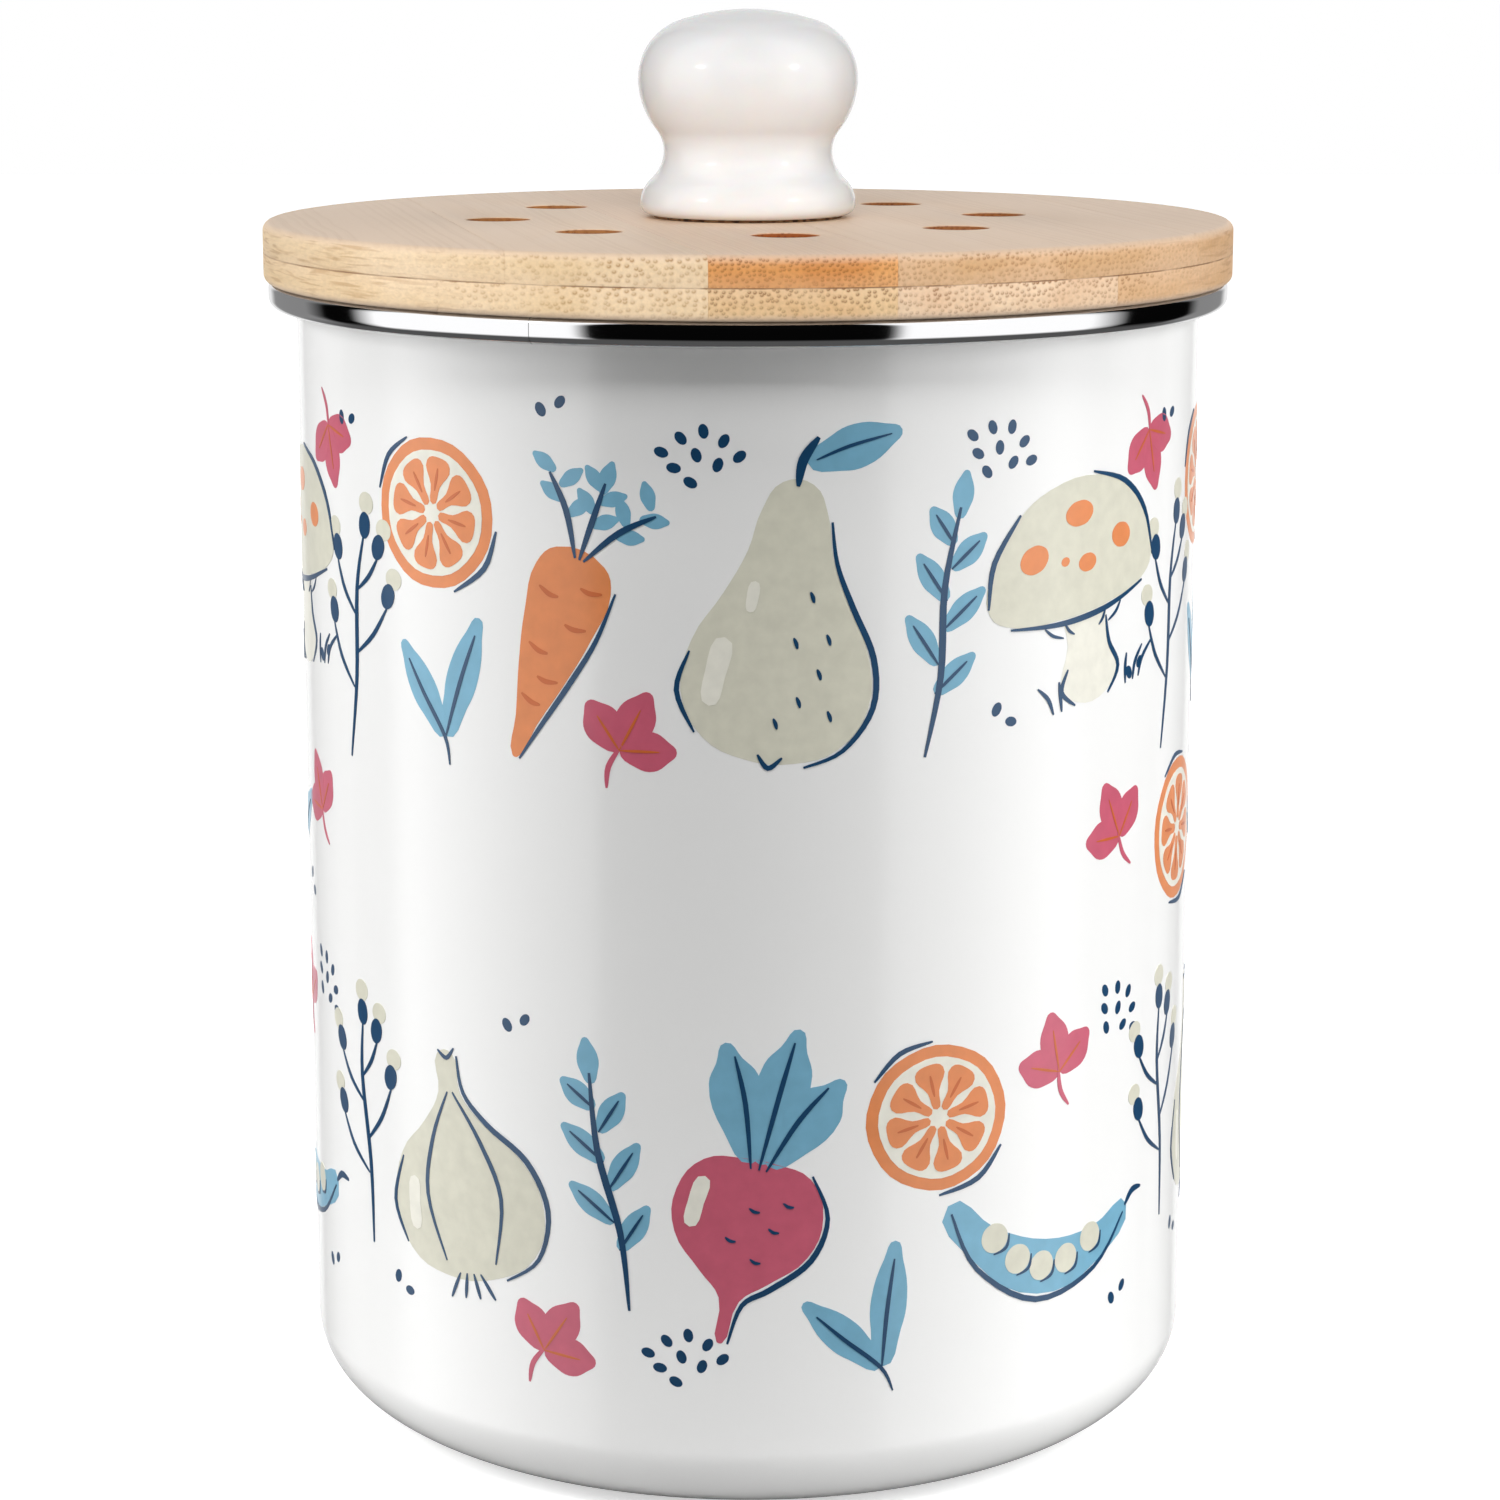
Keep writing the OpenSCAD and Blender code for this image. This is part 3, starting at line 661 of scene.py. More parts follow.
def strip(name, z, left, right, rounding, rounded_z, cutter):
    """One strip of a ply: a disc rounded at its outer rim, cut at its glue joints, and drilled."""
    bpy.ops.object.select_all(action="DESELECT")
    bpy.ops.mesh.primitive_cylinder_add(
        vertices=256, radius=lid_r * MM, depth=ply_t * MM, location=(0, 0, (z + ply_t / 2) * MM))
    piece = bpy.context.object
    piece.name = name
    bpy.ops.object.transform_apply(location=True)
    edit(piece)
    bpy.ops.mesh.select_mode(type="EDGE")
    bpy.ops.mesh.select_all(action="DESELECT")
    mesh = bmesh.from_edit_mesh(piece.data)
    for rim in mesh.edges:
        rim.select = all(abs(v.co.z - rounded_z * MM) < 0.01 * MM for v in rim.verts)
    bmesh.update_edit_mesh(piece.data)
    bpy.ops.mesh.bevel(offset=rounding * MM, segments=6, profile=0.5, affect="EDGES")
    for side, outer in ((left, False), (right, True)):
        if side is not None:
            bpy.ops.mesh.select_all(action="SELECT")
            bpy.ops.mesh.bisect(
                plane_co=across * side * MM, plane_no=across, use_fill=True,
                clear_outer=outer, clear_inner=not outer)
    bpy.ops.mesh.select_all(action="DESELECT")
    bpy.ops.mesh.edges_select_sharp(sharpness=math.radians(50))
    bpy.ops.mesh.bevel(offset=glue_edge * MM, segments=2, profile=0.5, affect="EDGES")
    bpy.ops.object.mode_set(mode="OBJECT")
    cut = piece.modifiers.new("drilled", "BOOLEAN")
    cut.object = cutter
    cut.solver = "MANIFOLD"
    bpy.ops.object.modifier_apply(modifier="drilled")
    bpy.ops.object.shade_smooth_by_angle(angle=math.radians(30))
    return piece


def bamboo(name, pale, deep, bundle, spacing):
    """Pressed bamboo, waxed: its fibre bundles are brown rings on cut ends and fine streaks along it.

    The colours are its palest and deepest straw and its bundles', which stand this far apart.
    """
    mat, shader = material(name, pale, 0.5, Specular_IOR_Level=0.28, Coat_Weight=0.08, Coat_Roughness=0.35)
    place = node(mat, "ShaderNodeTexCoord")
    strips = node(mat, "ShaderNodeMapping", {
        "Vector": place.outputs["Object"], "Rotation": (0, 0, -fibre_angle)})
    drawn = node(mat, "ShaderNodeMapping", {"Vector": strips.outputs["Vector"], "Scale": (1, 0.02, 1)})
    patches = node(mat, "ShaderNodeTexNoise", {
        "Vector": drawn.outputs["Vector"], "Scale": 1 / (14 * MM), "Detail": 2})
    tone = node(mat, "ShaderNodeMapRange", {
        "Value": patches.outputs["Fac"], "From Min": 0.36, "From Max": 0.64})
    body = node(mat, "ShaderNodeMix", {
        0: tone.outputs["Result"], 6: linear(pale), 7: linear(deep)}, data_type="RGBA")
    grain = node(mat, "ShaderNodeTexNoise", {
        "Vector": drawn.outputs["Vector"], "Scale": 1 / (0.5 * MM), "Detail": 3})
    fibres = node(mat, "ShaderNodeMapping", {"Vector": strips.outputs["Vector"], "Scale": (0.1, 0.07, 1)})
    threads = node(mat, "ShaderNodeTexNoise", {
        "Vector": fibres.outputs["Vector"], "Scale": 1 / (0.7 * MM), "Detail": 1, "Distortion": 0.5})
    shade = node(mat, "ShaderNodeMapRange", {
        "Value": grain.outputs["Fac"], "From Min": 0.3, "From Max": 0.7, "To Min": 0.93, "To Max": 1.05})
    grained = node(mat, "ShaderNodeMix", {0: 1.0, 6: body.outputs[2], 7: shade.outputs["Result"]},
                   data_type="RGBA", blend_type="MULTIPLY")
    # The bundles run straight through a strip, so their pattern lies flat across the fibres.
    axes = node(mat, "ShaderNodeSeparateXYZ", {"Vector": strips.outputs["Vector"]})
    wander = node(mat, "ShaderNodeTexNoise", {
        "Vector": strips.outputs["Vector"], "Scale": 1 / (30 * MM), "Detail": 1})
    drift = node(mat, "ShaderNodeMath", {
        0: wander.outputs["Fac"], 1: 2 * MM, 2: axes.outputs["X"]}, operation="MULTIPLY_ADD")
    section = node(mat, "ShaderNodeCombineXYZ", {"X": drift.outputs["Value"], "Y": axes.outputs["Z"]})
    bundles = node(mat, "ShaderNodeTexVoronoi", {
        "Vector": section.outputs["Vector"], "Scale": 1 / (spacing * MM), "Randomness": 0.8},
        voronoi_dimensions="2D")
    ring = node(mat, "ShaderNodeValToRGB", {"Fac": bundles.outputs["Distance"]}, stops=[
        (reach, (dark, dark, dark, 1))
        for reach, dark in ((0, 0.45), (0.1, 0.65), (0.22, 1), (0.36, 0.3), (0.52, 0))])
    spread = node(mat, "ShaderNodeTexNoise", {
        "Vector": drawn.outputs["Vector"], "Scale": 1 / (6 * MM), "Detail": 2})
    strength = node(mat, "ShaderNodeMapRange", {
        "Value": spread.outputs["Fac"], "From Min": 0.35, "From Max": 0.65, "To Min": 0.35, "To Max": 0.7})
    # They are darkest near the culm's outer skin, which is the upper side of each ply.
    depth = node(mat, "ShaderNodeMath", {
        0: axes.outputs["Z"], 1: glue_z * MM, 2: lid_low * MM}, operation="WRAP")
    skin = node(mat, "ShaderNodeMapRange", {
        "Value": depth.outputs["Value"], "From Min": lid_low * MM, "From Max": glue_z * MM,
        "To Min": 0.45, "To Max": 1.15})
    deeper = node(mat, "ShaderNodeMath", {
        0: strength.outputs["Result"], 1: skin.outputs["Result"]}, operation="MULTIPLY")
    # A bundle is denser on one side, so its ring is heavier below than above.
    centred = node(mat, "ShaderNodeVectorMath", {
        0: section.outputs["Vector"], 1: bundles.outputs["Position"]}, operation="SUBTRACT")
    lower_side = node(mat, "ShaderNodeVectorMath", {
        0: centred.outputs["Vector"], 1: (0.35, -0.94, 0)}, operation="DOT_PRODUCT")
    crescent = node(mat, "ShaderNodeMapRange", {
        "Value": lower_side.outputs["Value"], "From Min": -0.2 * spacing * MM, "From Max": 0.1 * spacing * MM,
        "To Min": 0.35, "To Max": 1.3})
    ringed = node(mat, "ShaderNodeMath", {
        0: ring.outputs["Color"], 1: crescent.outputs["Result"]}, operation="MULTIPLY")
    dotting = node(mat, "ShaderNodeMath", {
        0: ringed.outputs["Value"], 1: deeper.outputs["Value"]}, operation="MULTIPLY")
    # Rings show where the face cuts across the fibres, and thin out as it turns to run along them.
    facing = node(mat, "ShaderNodeSeparateXYZ", {"Vector": place.outputs["Normal"]})
    facing_along = node(mat, "ShaderNodeVectorMath", {
        0: place.outputs["Normal"], 1: along}, operation="DOT_PRODUCT")
    endwise = node(mat, "ShaderNodeMath", {0: facing_along.outputs["Value"]}, operation="ABSOLUTE")
    cut_ends = node(mat, "ShaderNodeMapRange", {
        "Value": endwise.outputs["Value"], "From Min": 0.6, "From Max": 0.86, "To Min": 0.12})
    marking = node(mat, "ShaderNodeMath", {
        0: dotting.outputs["Value"], 1: cut_ends.outputs["Result"]}, operation="MULTIPLY")
    # Along the fibres the bundles lie open as long, broken slits.
    flatness = node(mat, "ShaderNodeMath", {0: facing.outputs["Z"]}, operation="ABSOLUTE")
    upright = node(mat, "ShaderNodeMath", {0: flatness.outputs["Value"], 1: 0.5}, operation="LESS_THAN")
    lengthwise = node(mat, "ShaderNodeMapRange", {
        "Value": endwise.outputs["Value"], "From Min": 0.5, "From Max": 0.85, "To Min": 0.4, "To Max": 0})
    slit = node(mat, "ShaderNodeMapRange", {
        "Value": threads.outputs["Fac"], "From Min": 0.5, "From Max": 0.68})
    slitted = node(mat, "ShaderNodeMath", {
        0: lengthwise.outputs["Result"], 1: upright.outputs["Value"]}, operation="MULTIPLY")
    streaked = node(mat, "ShaderNodeMath", {
        0: slit.outputs["Result"], 1: slitted.outputs["Value"]}, operation="MULTIPLY")
    marked = node(mat, "ShaderNodeMath", {
        0: marking.outputs["Value"], 1: streaked.outputs["Value"]}, operation="MAXIMUM")
    # Sanding and wax even out the broad faces: their streaks are left to the upright faces, and painted
    # sheen, a pale tone mixed in where they face up or down, stands in for the wax's grazing reflection, so
    # the strips' tones show less.
    painted_sheen_amount = node(mat, "ShaderNodeMath", {0: flatness.outputs["Value"], 1: 0.93}, operation="MULTIPLY")
    painted_sheen_mix = node(mat, "ShaderNodeMix", {
        0: painted_sheen_amount.outputs["Value"], 6: grained.outputs[2], 7: linear("#ebd1b8")}, data_type="RGBA")
    dotted = node(mat, "ShaderNodeMix", {
        0: marked.outputs["Value"], 6: painted_sheen_mix.outputs[2], 7: linear(bundle)}, data_type="RGBA")
    # Glue squeezed out between the plies leaves a thin brown line, broken where it was scraped.
    at_glue = node(mat, "ShaderNodeMath", {
        0: axes.outputs["Z"], 1: glue_z * MM, 2: glue_line / 2 * MM}, operation="COMPARE")
    scraped = node(mat, "ShaderNodeMapRange", {
        "Value": spread.outputs["Fac"], "From Min": 0.4, "From Max": 0.6, "To Min": 0.15, "To Max": 0.7})
    glued = node(mat, "ShaderNodeMath", {
        0: at_glue.outputs["Value"], 1: scraped.outputs["Result"]}, operation="MULTIPLY")
    lined = node(mat, "ShaderNodeMix", {
        0: glued.outputs["Value"], 6: dotted.outputs[2], 7: linear("#8a5c36")}, data_type="RGBA")
    # The drill burnished the walls of the vents and left them browner than the sanded faces; part of this
    # darkening is painted shade inside the deep holes.
    flat_place = node(mat, "ShaderNodeMapping", {"Vector": place.outputs["Object"], "Scale": (1, 1, 0)})
    from_axis = node(mat, "ShaderNodeVectorMath", {0: flat_place.outputs["Vector"]}, operation="LENGTH")
    inside = node(mat, "ShaderNodeMath", {
        0: from_axis.outputs["Value"], 1: drilled_r * MM}, operation="LESS_THAN")
    drilled = node(mat, "ShaderNodeMath", {
        0: upright.outputs["Value"], 1: inside.outputs["Value"]}, operation="MULTIPLY")
    burnished_and_shaded = node(mat, "ShaderNodeMix", {
        0: drilled.outputs["Value"], 6: lined.outputs[2], 7: linear("#b68a62")},
        data_type="RGBA", blend_type="MULTIPLY")
    join(mat, burnished_and_shaded.outputs[2], shader.inputs["Base Color"])
    pores = node(mat, "ShaderNodeBump", {
        "Height": ring.outputs["Color"], "Strength": 0.35, "Distance": -0.12 * MM})
    fine = node(mat, "ShaderNodeBump", {
        "Height": grain.outputs["Fac"], "Normal": pores.outputs["Normal"], "Strength": 0.2,
        "Distance": 0.05 * MM})
    join(mat, fine.outputs["Normal"], shader.inputs["Normal"])
    return mat


straw = bamboo("pressed_bamboo_straw", "#f0d7b4", "#e7cba2", "#a87840", 1.2)
honey = bamboo("pressed_bamboo_honey", "#e6a968", "#d6904e", "#925628", 0.85)
sand = bamboo("pressed_bamboo_sand", "#dfb890", "#d4aa7c", "#9c6636", 0.95)
cream = bamboo("pressed_bamboo_cream", "#e9cb9f", "#dcb483", "#8c5c30", 1.0)
blush = bamboo("pressed_bamboo_blush", "#edd2b2", "#e2bf9c", "#966238", 1.0)
upper_woods = [straw, straw, honey, sand, sand, sand]
lower_woods = [straw, straw, cream, blush, sand]
cutter = drills()
for ply, woods, joints, z, rounding, rounded_z in (
        ("upper", upper_woods, upper_joints, glue_z, top_edge, lid_top),
        ("lower", lower_woods, lower_joints, lid_low, low_edge, lid_low)):
    for i, wood in enumerate(woods):
        plank = strip(f"bamboo_{ply}_{i + 1}", z, joints[i], joints[i + 1], rounding, rounded_z, cutter)
        fitted(plank, "lid", f"{ply}_strip_{i + 1}", wood)
bpy.data.objects.remove(cutter)


# Spigot ring: the lid's turned bamboo ring, glued under it to drop into the drum. Its groove holds
# the seal, and its lower edge is chamfered to find the drum's mouth.


def soften(piece, width, sharpness=35, segments=2):
    """Rounds a piece's sharp edges by a width in millimetres."""
    edit(piece)
    bpy.ops.mesh.select_mode(type="EDGE")
    bpy.ops.mesh.select_all(action="DESELECT")
    bpy.ops.mesh.edges_select_sharp(sharpness=math.radians(sharpness))
    bpy.ops.mesh.bevel(offset=width * MM, segments=segments, profile=0.5, affect="EDGES", clamp_overlap=True)
    bpy.ops.object.mode_set(mode="OBJECT")
    bpy.ops.object.shade_smooth_by_angle(angle=math.radians(30))


spigot_r, spigot_bore, chamfer = 80.4, 67, 1
spigot_low, groove_low, groove_high, groove_r = lid_low - 9, lid_low - 6.5, lid_low - 2.5, 77.4
spigot = turned("bamboo_spigot_ring", [
    (spigot_bore, lid_low), (spigot_bore, spigot_low), (spigot_r - chamfer, spigot_low),
    (spigot_r, spigot_low + chamfer), (spigot_r, groove_low), (groove_r, groove_low), (groove_r, groove_high),
    (spigot_r, groove_high), (spigot_r, lid_low), (spigot_bore, lid_low)])
soften(spigot, 0.25)
fitted(spigot, "lid", "plug_ring", cream)


# Seal: a ring of food-grade silicone with two thin lips, stretched into the ring's groove. The lips
# wipe the drum's wall as the lid goes down, and keep the smell in.

# Moulded silicone: soft, milky and slightly see-through, with a satin surface that holds fine dust.
# The satin is drawn coarser than it is, so that it shows.
silicone, shader = material(
    "milky_silicone_rubber", "#e4e6e4", 0.42, Subsurface_Weight=0.35, Subsurface_Scale=0.004)
place = node(silicone, "ShaderNodeTexCoord")
satin = node(silicone, "ShaderNodeTexNoise", {
    "Vector": place.outputs["Object"], "Scale": 1 / (0.6 * MM), "Detail": 2})
sheen = node(silicone, "ShaderNodeMapRange", {"Value": satin.outputs["Fac"], "To Min": 0.34, "To Max": 0.52})
join(silicone, sheen.outputs["Result"], shader.inputs["Roughness"])
bump = node(silicone, "ShaderNodeBump", {
    "Height": satin.outputs["Fac"], "Strength": 0.15, "Distance": 0.02 * MM})
join(silicone, bump.outputs["Normal"], shader.inputs["Normal"])

lip_r, lip_t, lip_rise, lip_nose = 82.6, 0.8, 1, 0.2
seal_outline = [(groove_r, groove_low), (spigot_r, groove_low)]
for lip_z in (groove_low + lip_nose, groove_high - lip_rise - lip_t):
    tip_z = lip_z + lip_rise
    seal_outline += [(spigot_r, lip_z), (lip_r - lip_nose, tip_z), (lip_r, tip_z + lip_t / 4),
                     (lip_r - lip_nose, tip_z + lip_t / 2), (spigot_r, lip_z + lip_t)]
seal_outline += [(spigot_r, groove_high), (groove_r, groove_high), (groove_r, groove_low)]
seal = turned("silicone_seal", seal_outline, soft_angle=50)
fitted(seal, "lid", "lid_seal", silicone)


# Knob's fixings: a cork pad under its foot, a brass insert cemented in its bore, and a steel screw
# with its washer, which pull it down on the lid from the counterbore below.


def merged_copy(cad_node, name):
    """A copy of a CAD part in a mesh of its own, with its loose triangles merged."""
    source = frame["nodes"][cad_node]
    piece = bpy.data.objects.new(name, source.data.copy())
    bpy.context.collection.objects.link(piece)
    piece.matrix_world = source.matrix_world
    pick(piece)
    bpy.ops.object.transform_apply(location=True, rotation=True, scale=True)
    bpy.ops.mesh.customdata_custom_splitnormals_clear()
    edit(piece)
    bpy.ops.mesh.remove_doubles(threshold=0.002 * MM)
    bpy.ops.object.mode_set(mode="OBJECT")
    return piece


# Agglomerated cork: pressed brown grains, with darker bark specks.
cork, shader = material("agglomerated_cork", "#6b4d35", 0.85)
place = node(cork, "ShaderNodeTexCoord")
grains = node(cork, "ShaderNodeTexVoronoi", {"Vector": place.outputs["Object"], "Scale": 1 / (0.9 * MM)})
specks = node(cork, "ShaderNodeValToRGB", {"Fac": grains.outputs["Color"]}, stops=[
    (0.1, linear("#3c2a1d")), (0.35, linear("#6b4d35")), (0.8, linear("#8a6a4b"))])
join(cork, specks.outputs["Color"], shader.inputs["Base Color"])
bump = node(cork, "ShaderNodeBump", {
    "Height": grains.outputs["Distance"], "Strength": 0.4, "Distance": 0.1 * MM})
join(cork, bump.outputs["Normal"], shader.inputs["Normal"])


def metal(name, colour, roughness, lines):
    """A bare or plated metal with fine turning or tumbling marks, this far apart in millimetres.

    They are drawn coarser than they are, so that they show.
    """
    mat, shader = material(name, colour, roughness, Metallic=1.0)
    place = node(mat, "ShaderNodeTexCoord")
    marks = node(mat, "ShaderNodeTexNoise", {
        "Vector": place.outputs["Object"], "Scale": 1 / (lines * MM), "Detail": 3})
    worn = node(mat, "ShaderNodeMapRange", {
        "Value": marks.outputs["Fac"], "From Min": 0.3, "From Max": 0.7,
        "To Min": roughness * 0.8, "To Max": roughness * 1.3})
    join(mat, worn.outputs["Result"], shader.inputs["Roughness"])
    bump = node(mat, "ShaderNodeBump", {
        "Height": marks.outputs["Fac"], "Strength": 0.15, "Distance": 0.02 * MM})
    join(mat, bump.outputs["Normal"], shader.inputs["Normal"])
    return mat


# Turned brass is warm yellow with fine tool marks, and bright zinc plate pale blue-grey and cloudy.
brass = metal("turned_brass", "#d9b25f", 0.28, 0.3)
zinc = metal("bright_zinc_plate", "#c9cdd1", 0.3, 0.5)

pad_r, pad_edge = 17.6, 0.15
pad = turned("cork_pad", [
    (screw_hole_r, lid_top), (pad_r - pad_edge, lid_top), (pad_r, lid_top + pad_edge),
    (pad_r, knob_z - pad_edge), (pad_r - pad_edge, knob_z), (screw_hole_r, knob_z),
    (screw_hole_r, lid_top)], steps=96)
fitted(pad, "lid", "knob_pad", cork)
for cad_node, name, width, finish, slot in (
        ("knob_insert", "brass_insert", 0.2, brass, "brass"),
        ("knob_screw", "knob_screw_zinc", 0.15, zinc, "zinc_steel"),
        ("screw_washer", "washer_zinc", 0.2, zinc, "zinc_steel")):
    piece = merged_copy(cad_node, name)
    soften(piece, width)
    fitted(piece, "lid", cad_node, finish)


# Filter holder: a ring injection-moulded in white polypropylene, screwed under the lid. Its three
# slots take the lugs of the slotted cover, which turns by its waisted bar and holds the filter up.

# Moulded polypropylene: waxy white, satin from the mould's spark-eroded texture, which is drawn
# coarser than it is, so that it shows.
plastic, shader = material(
    "moulded_polypropylene", "#eceeed", 0.38, Subsurface_Weight=0.12, Subsurface_Scale=0.002)
place = node(plastic, "ShaderNodeTexCoord")
spark = node(plastic, "ShaderNodeTexNoise", {
    "Vector": place.outputs["Object"], "Scale": 1 / (0.35 * MM), "Detail": 3})
flow = node(plastic, "ShaderNodeTexNoise", {
    "Vector": place.outputs["Object"], "Scale": 1 / (22 * MM), "Detail": 2})
tint = node(plastic, "ShaderNodeMix", {
    0: flow.outputs["Fac"], 6: linear("#e6e9e8"), 7: linear("#f1f1ef")}, data_type="RGBA")
join(plastic, tint.outputs[2], shader.inputs["Base Color"])
satin = node(plastic, "ShaderNodeMapRange", {"Value": spark.outputs["Fac"], "To Min": 0.3, "To Max": 0.48})
join(plastic, satin.outputs["Result"], shader.inputs["Roughness"])
bump = node(plastic, "ShaderNodeBump", {
    "Height": spark.outputs["Fac"], "Strength": 0.2, "Distance": 0.03 * MM})
join(plastic, bump.outputs["Normal"], shader.inputs["Normal"])

for cad_node, name, width, finish, slot, body in (
        ("filter_housing", "filter_holder_ring", 0.25, plastic, "white_plastic", "lid"),
        ("housing_screws", "holder_screws_zinc", 0.08, zinc, "zinc_steel", "lid"),
        ("filter_cover", "filter_cover_grille", 0.25, plastic, "white_plastic", "filter_cover")):
    piece = merged_copy(cad_node, name)
    soften(piece, width)
    fitted(piece, body, cad_node, finish)


# Filter: a disc die-cut from needled felt that is loaded with charcoal. Its faces swell a little
# between its pressed edge and its middle, and stray fibres make it fuzzy.

# Charcoal felt: black with a dusty grey bloom, matted in tufts, since single fibres are too fine to
# show.
felt, shader = material("charcoal_loaded_felt", "#232425", 0.95, Sheen_Weight=0.4, Sheen_Roughness=0.5)
place = node(felt, "ShaderNodeTexCoord")
matted = node(felt, "ShaderNodeTexNoise", {
    "Vector": place.outputs["Object"], "Scale": 1 / (1.6 * MM), "Detail": 6, "Roughness": 0.7,
    "Distortion": 1.2})
dusty = node(felt, "ShaderNodeValToRGB", {"Fac": matted.outputs["Fac"]}, stops=[
    (0.35, linear("#131415")), (0.55, linear("#252627")), (0.75, linear("#4a4b4c"))])
join(felt, dusty.outputs["Color"], shader.inputs["Base Color"])
bump = node(felt, "ShaderNodeBump", {"Height": matted.outputs["Fac"], "Strength": 0.8, "Distance": 0.5 * MM})
join(felt, bump.outputs["Normal"], shader.inputs["Normal"])

felt_low, felt_high = (corner.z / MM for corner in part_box("charcoal_filter"))
felt_r, felt_round, swell = 61.2, 2.2, 0.5
low_rings = [(felt_r * u, felt_low + swell * u ** 4)
             for u in (0, 0.1, 0.2, 0.3, 0.4, 0.5, 0.6, 0.7, 0.8, 0.88, 0.94)]
felt_disc = turned("charcoal_felt_disc", [
    *low_rings, *arc(felt_r - felt_round, felt_low + felt_round + swell, felt_round, -80, 0, 6),
    *arc(felt_r - felt_round, felt_high - felt_round - swell, felt_round, 0, 80, 6),
    *[(x, felt_high + felt_low - z) for x, z in reversed(low_rings)]], steps=128, soft_angle=60)
fuzz = bpy.data.textures.new("fuzz", "CLOUDS")
fuzz.noise_scale = 2.4 * MM
matting = felt_disc.modifiers.new("matting", "DISPLACE")
matting.texture = fuzz
matting.texture_coords = "LOCAL"
matting.strength = 0.3 * MM
matting.mid_level = 1
bpy.ops.object.modifier_apply(modifier="matting")
fitted(felt_disc, "lid", "charcoal_filter", felt)


# Studio: a white table and backdrop. The drum, the lid's wood and the knob each have soft lamps of
# their own, and black and white screens stand all round, which only the polished metal and the
# glazes see.

world = bpy.data.worlds.new("studio")
bpy.context.scene.world = world
world.use_nodes = True
background = world.node_tree.nodes["Background"]
rays = node(world, "ShaderNodeLightPath")
direction = node(world, "ShaderNodeTexCoord")
from_front = node(world, "ShaderNodeMapping", {
    "Vector": direction.outputs["Generated"], "Rotation": (0, 0, math.pi / 2)})
around_turn = node(world, "ShaderNodeTexGradient", {
    "Vector": from_front.outputs["Vector"]}, gradient_type="RADIAL")
# The screens' levels, and where each begins and ends, in degrees from the front to the right.
black, dim, grey, pale, white = ([level] * 3 + [1] for level in (0.002, 0.1, 0.28, 0.9, 1.3))
screens = node(world, "ShaderNodeValToRGB", {"Fac": around_turn.outputs["Fac"]}, stops=[
    (0.5 + turn / 360, shade) for turn, shade in (
        (-160, pale), (-153, grey), (-128, grey), (-118, black), (-106, black), (-97, white), (-41, white),
        (-37, black), (33, black), (37, white), (87, white), (100, black), (127, black), (133, grey),
        (153, grey), (160, pale))])
# Mirrors alone see them, and only where no dull surface lies between, so they throw no light.
straight = node(world, "ShaderNodeMath", {0: rays.outputs["Diffuse Depth"], 1: 0.5}, operation="LESS_THAN")
mirrored = node(world, "ShaderNodeMath", {
    0: rays.outputs["Is Glossy Ray"], 1: straight.outputs["Value"]}, operation="MULTIPLY")
# Below the screens a mirror sees a dim table.
slope = node(world, "ShaderNodeSeparateXYZ", {"Vector": direction.outputs["Generated"]})
below = node(world, "ShaderNodeMapRange", {"Value": slope.outputs["Z"], "From Min": -0.35, "From Max": -0.55})
around = node(world, "ShaderNodeMix", {
    0: below.outputs["Result"], 6: screens.outputs["Color"], 7: dim}, data_type="RGBA")
ambient = node(world, "ShaderNodeMix", {
    0: mirrored.outputs["Value"], 6: (0.07, 0.07, 0.07, 1), 7: around.outputs[2]}, data_type="RGBA")
seen = node(world, "ShaderNodeMath", {
    0: rays.outputs["Is Camera Ray"], 1: rays.outputs["Is Transmission Ray"]}, operation="MAXIMUM")
shown = node(world, "ShaderNodeMix", {
    0: seen.outputs["Value"], 6: ambient.outputs[2], 7: (1, 1, 1, 1)}, data_type="RGBA")
join(world, shown.outputs[2], background.inputs["Color"])

bpy.ops.object.select_all(action="DESELECT")
bpy.ops.mesh.primitive_plane_add(size=8, location=(0, 0, 0))
table = bpy.context.object
table.name = "table"
# White paper: to the eye it fades to pure white away from the caddy. It sends less light than that
# back to the drum, and is open to mirrors and from below.
paper, shader = material("white_table_paper", "#f2f2f2", 0.7)
rays = node(paper, "ShaderNodeLightPath")
place = node(paper, "ShaderNodeTexCoord")
away = node(paper, "ShaderNodeVectorMath", {0: place.outputs["Object"]}, operation="LENGTH")
far = node(paper, "ShaderNodeMapRange", {"Value": away.outputs["Value"], "From Min": 0.1, "From Max": 0.3},
           interpolation_type="SMOOTHSTEP")
lift = node(paper, "ShaderNodeMapRange", {"Value": far.outputs["Result"], "To Min": 0.55, "To Max": 1.0})
lit = node(paper, "ShaderNodeMath", {
    0: lift.outputs["Result"], 1: rays.outputs["Is Camera Ray"]}, operation="MULTIPLY")
sent_back = node(paper, "ShaderNodeMapRange", {"Value": far.outputs["Result"], "To Min": 0.4, "To Max": 0.2})
bounced = node(paper, "ShaderNodeMix", {
    0: rays.outputs["Is Camera Ray"], 6: sent_back.outputs["Result"], 7: linear("#f2f2f2")}, data_type="RGBA")
join(paper, bounced.outputs[2], shader.inputs["Base Color"])
glow = node(paper, "ShaderNodeEmission", {"Strength": lit.outputs["Value"]})
lifted = node(paper, "ShaderNodeAddShader", {0: shader.outputs["BSDF"], 1: glow.outputs["Emission"]})
clear = node(paper, "ShaderNodeBsdfTransparent")
under = node(paper, "ShaderNodeNewGeometry")
unseen = node(paper, "ShaderNodeMath", {
    0: rays.outputs["Is Glossy Ray"], 1: under.outputs["Backfacing"]}, operation="MAXIMUM")
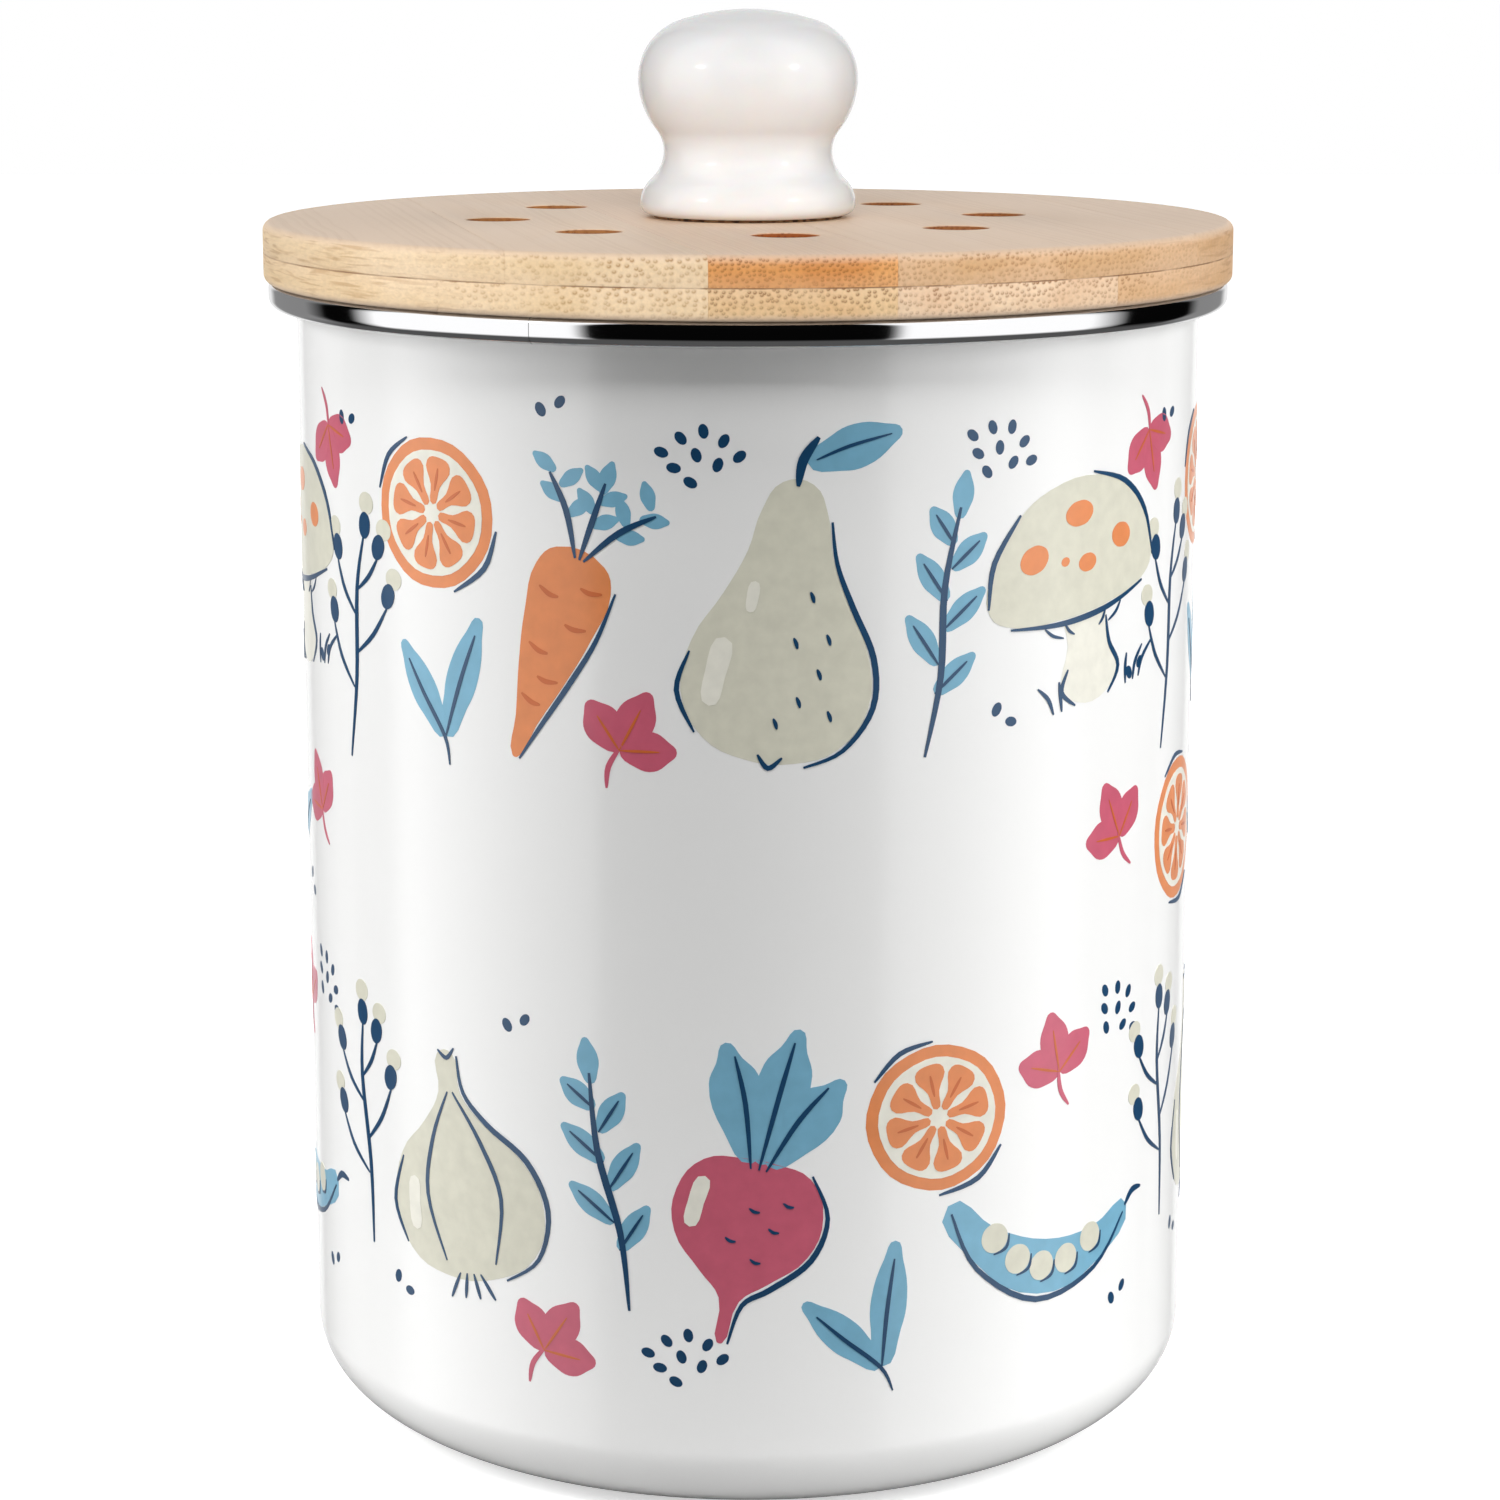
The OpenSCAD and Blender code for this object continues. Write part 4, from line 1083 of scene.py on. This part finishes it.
either = node(paper, "ShaderNodeMixShader", {
    0: unseen.outputs["Value"], 1: lifted.outputs["Shader"], 2: clear.outputs["BSDF"]})
join(paper, either.outputs["Shader"], paper.node_tree.nodes["Material Output"].inputs["Surface"])
table.data.materials.append(paper)
table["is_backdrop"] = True


def softbox(name, bearing, elevation, distance, width, height, watts, lights=None):
    """A lamp that faces the caddy's middle, at a bearing from its front to the right, in degrees.

    Its distance and size are in metres. It lights one collection alone, or everything.
    """
    a, e = math.radians(bearing), math.radians(elevation)
    away = Vector((math.sin(a) * math.cos(e), -math.cos(a) * math.cos(e), math.sin(e)))
    caddy_middle = Vector((0, 0, 0.13))
    bpy.ops.object.light_add(type="AREA", location=caddy_middle + away * distance)
    lamp = bpy.context.object
    lamp.name = name
    lamp.rotation_euler = away.to_track_quat("Z", "Y").to_euler()
    lamp.data.shape = "RECTANGLE"
    lamp.data.size, lamp.data.size_y = width, height
    lamp.data.energy = watts
    lamp.visible_glossy = False
    if lights:
        lamp.light_linking.receiver_collection = lights
    return lamp


drum_pieces = bpy.data.collections.new("drum_pieces")
lid_pieces = bpy.data.collections.new("lid_pieces")
wood_pieces = bpy.data.collections.new("wood_pieces")
knob_pieces = bpy.data.collections.new("knob_pieces")
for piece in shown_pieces():
    if body_of(piece) == ["canister"]:
        drum_pieces.objects.link(piece)
    else:
        lid_pieces.objects.link(piece)
        (knob_pieces if piece is knob else wood_pieces).objects.link(piece)
drum_pieces.objects.link(table)
for bearing, watts in ((-105, 6.5), (-82, 5.1), (74, 5.9), (105, 6.2)):
    softbox("side_softbox", bearing, 8, 0.9, 0.24, 0.9, watts, drum_pieces)
softbox("high_lamp", 0, 60, 1.1, 0.35, 0.3, 6.8, drum_pieces)
softbox("top_lamp", 0, 80, 1.1, 0.35, 0.3, 15, drum_pieces)
softbox("lid_front_softbox", 0, 30, 1.1, 0.9, 0.6, 10.5, lid_pieces)
for bearing, watts, lights in (
        (-95, 6.0, wood_pieces), (95, 6.3, wood_pieces), (-95, 3.1, knob_pieces), (95, 3.6, knob_pieces)):
    softbox("lid_side_softbox", bearing, 12, 1.0, 0.6, 0.6, watts, lights)
softbox("lid_back_softbox", 180, 18, 1.1, 0.9, 0.6, 4.2, lid_pieces)
# Two small lamps give the glazes their glints and no other light.
for bearing in (-52, 52):
    glint = softbox("glint_lamp", bearing, 28, 1.1, 0.16, 0.12, 0.8)
    glint.visible_glossy = True
    glint.visible_diffuse = False

# The camera stands in front, a little higher than the knob, and looks down. Its focal length and
# shifts are given in the pixels of a square frame.
frame_w, focal, right, down = 1500, 3596.8, 2, 119.5
eye, tilt = (0, -0.6749, 0.26864), 10.5
bpy.ops.object.camera_add(location=eye, rotation=(math.radians(90 - tilt), 0, 0))
camera = bpy.context.object
camera.data.sensor_width = 36
camera.data.lens = focal / frame_w * camera.data.sensor_width
camera.data.shift_x = right / frame_w
camera.data.shift_y = -down / frame_w
bpy.context.scene.camera = camera
bpy.context.scene.view_settings.view_transform = "Standard"
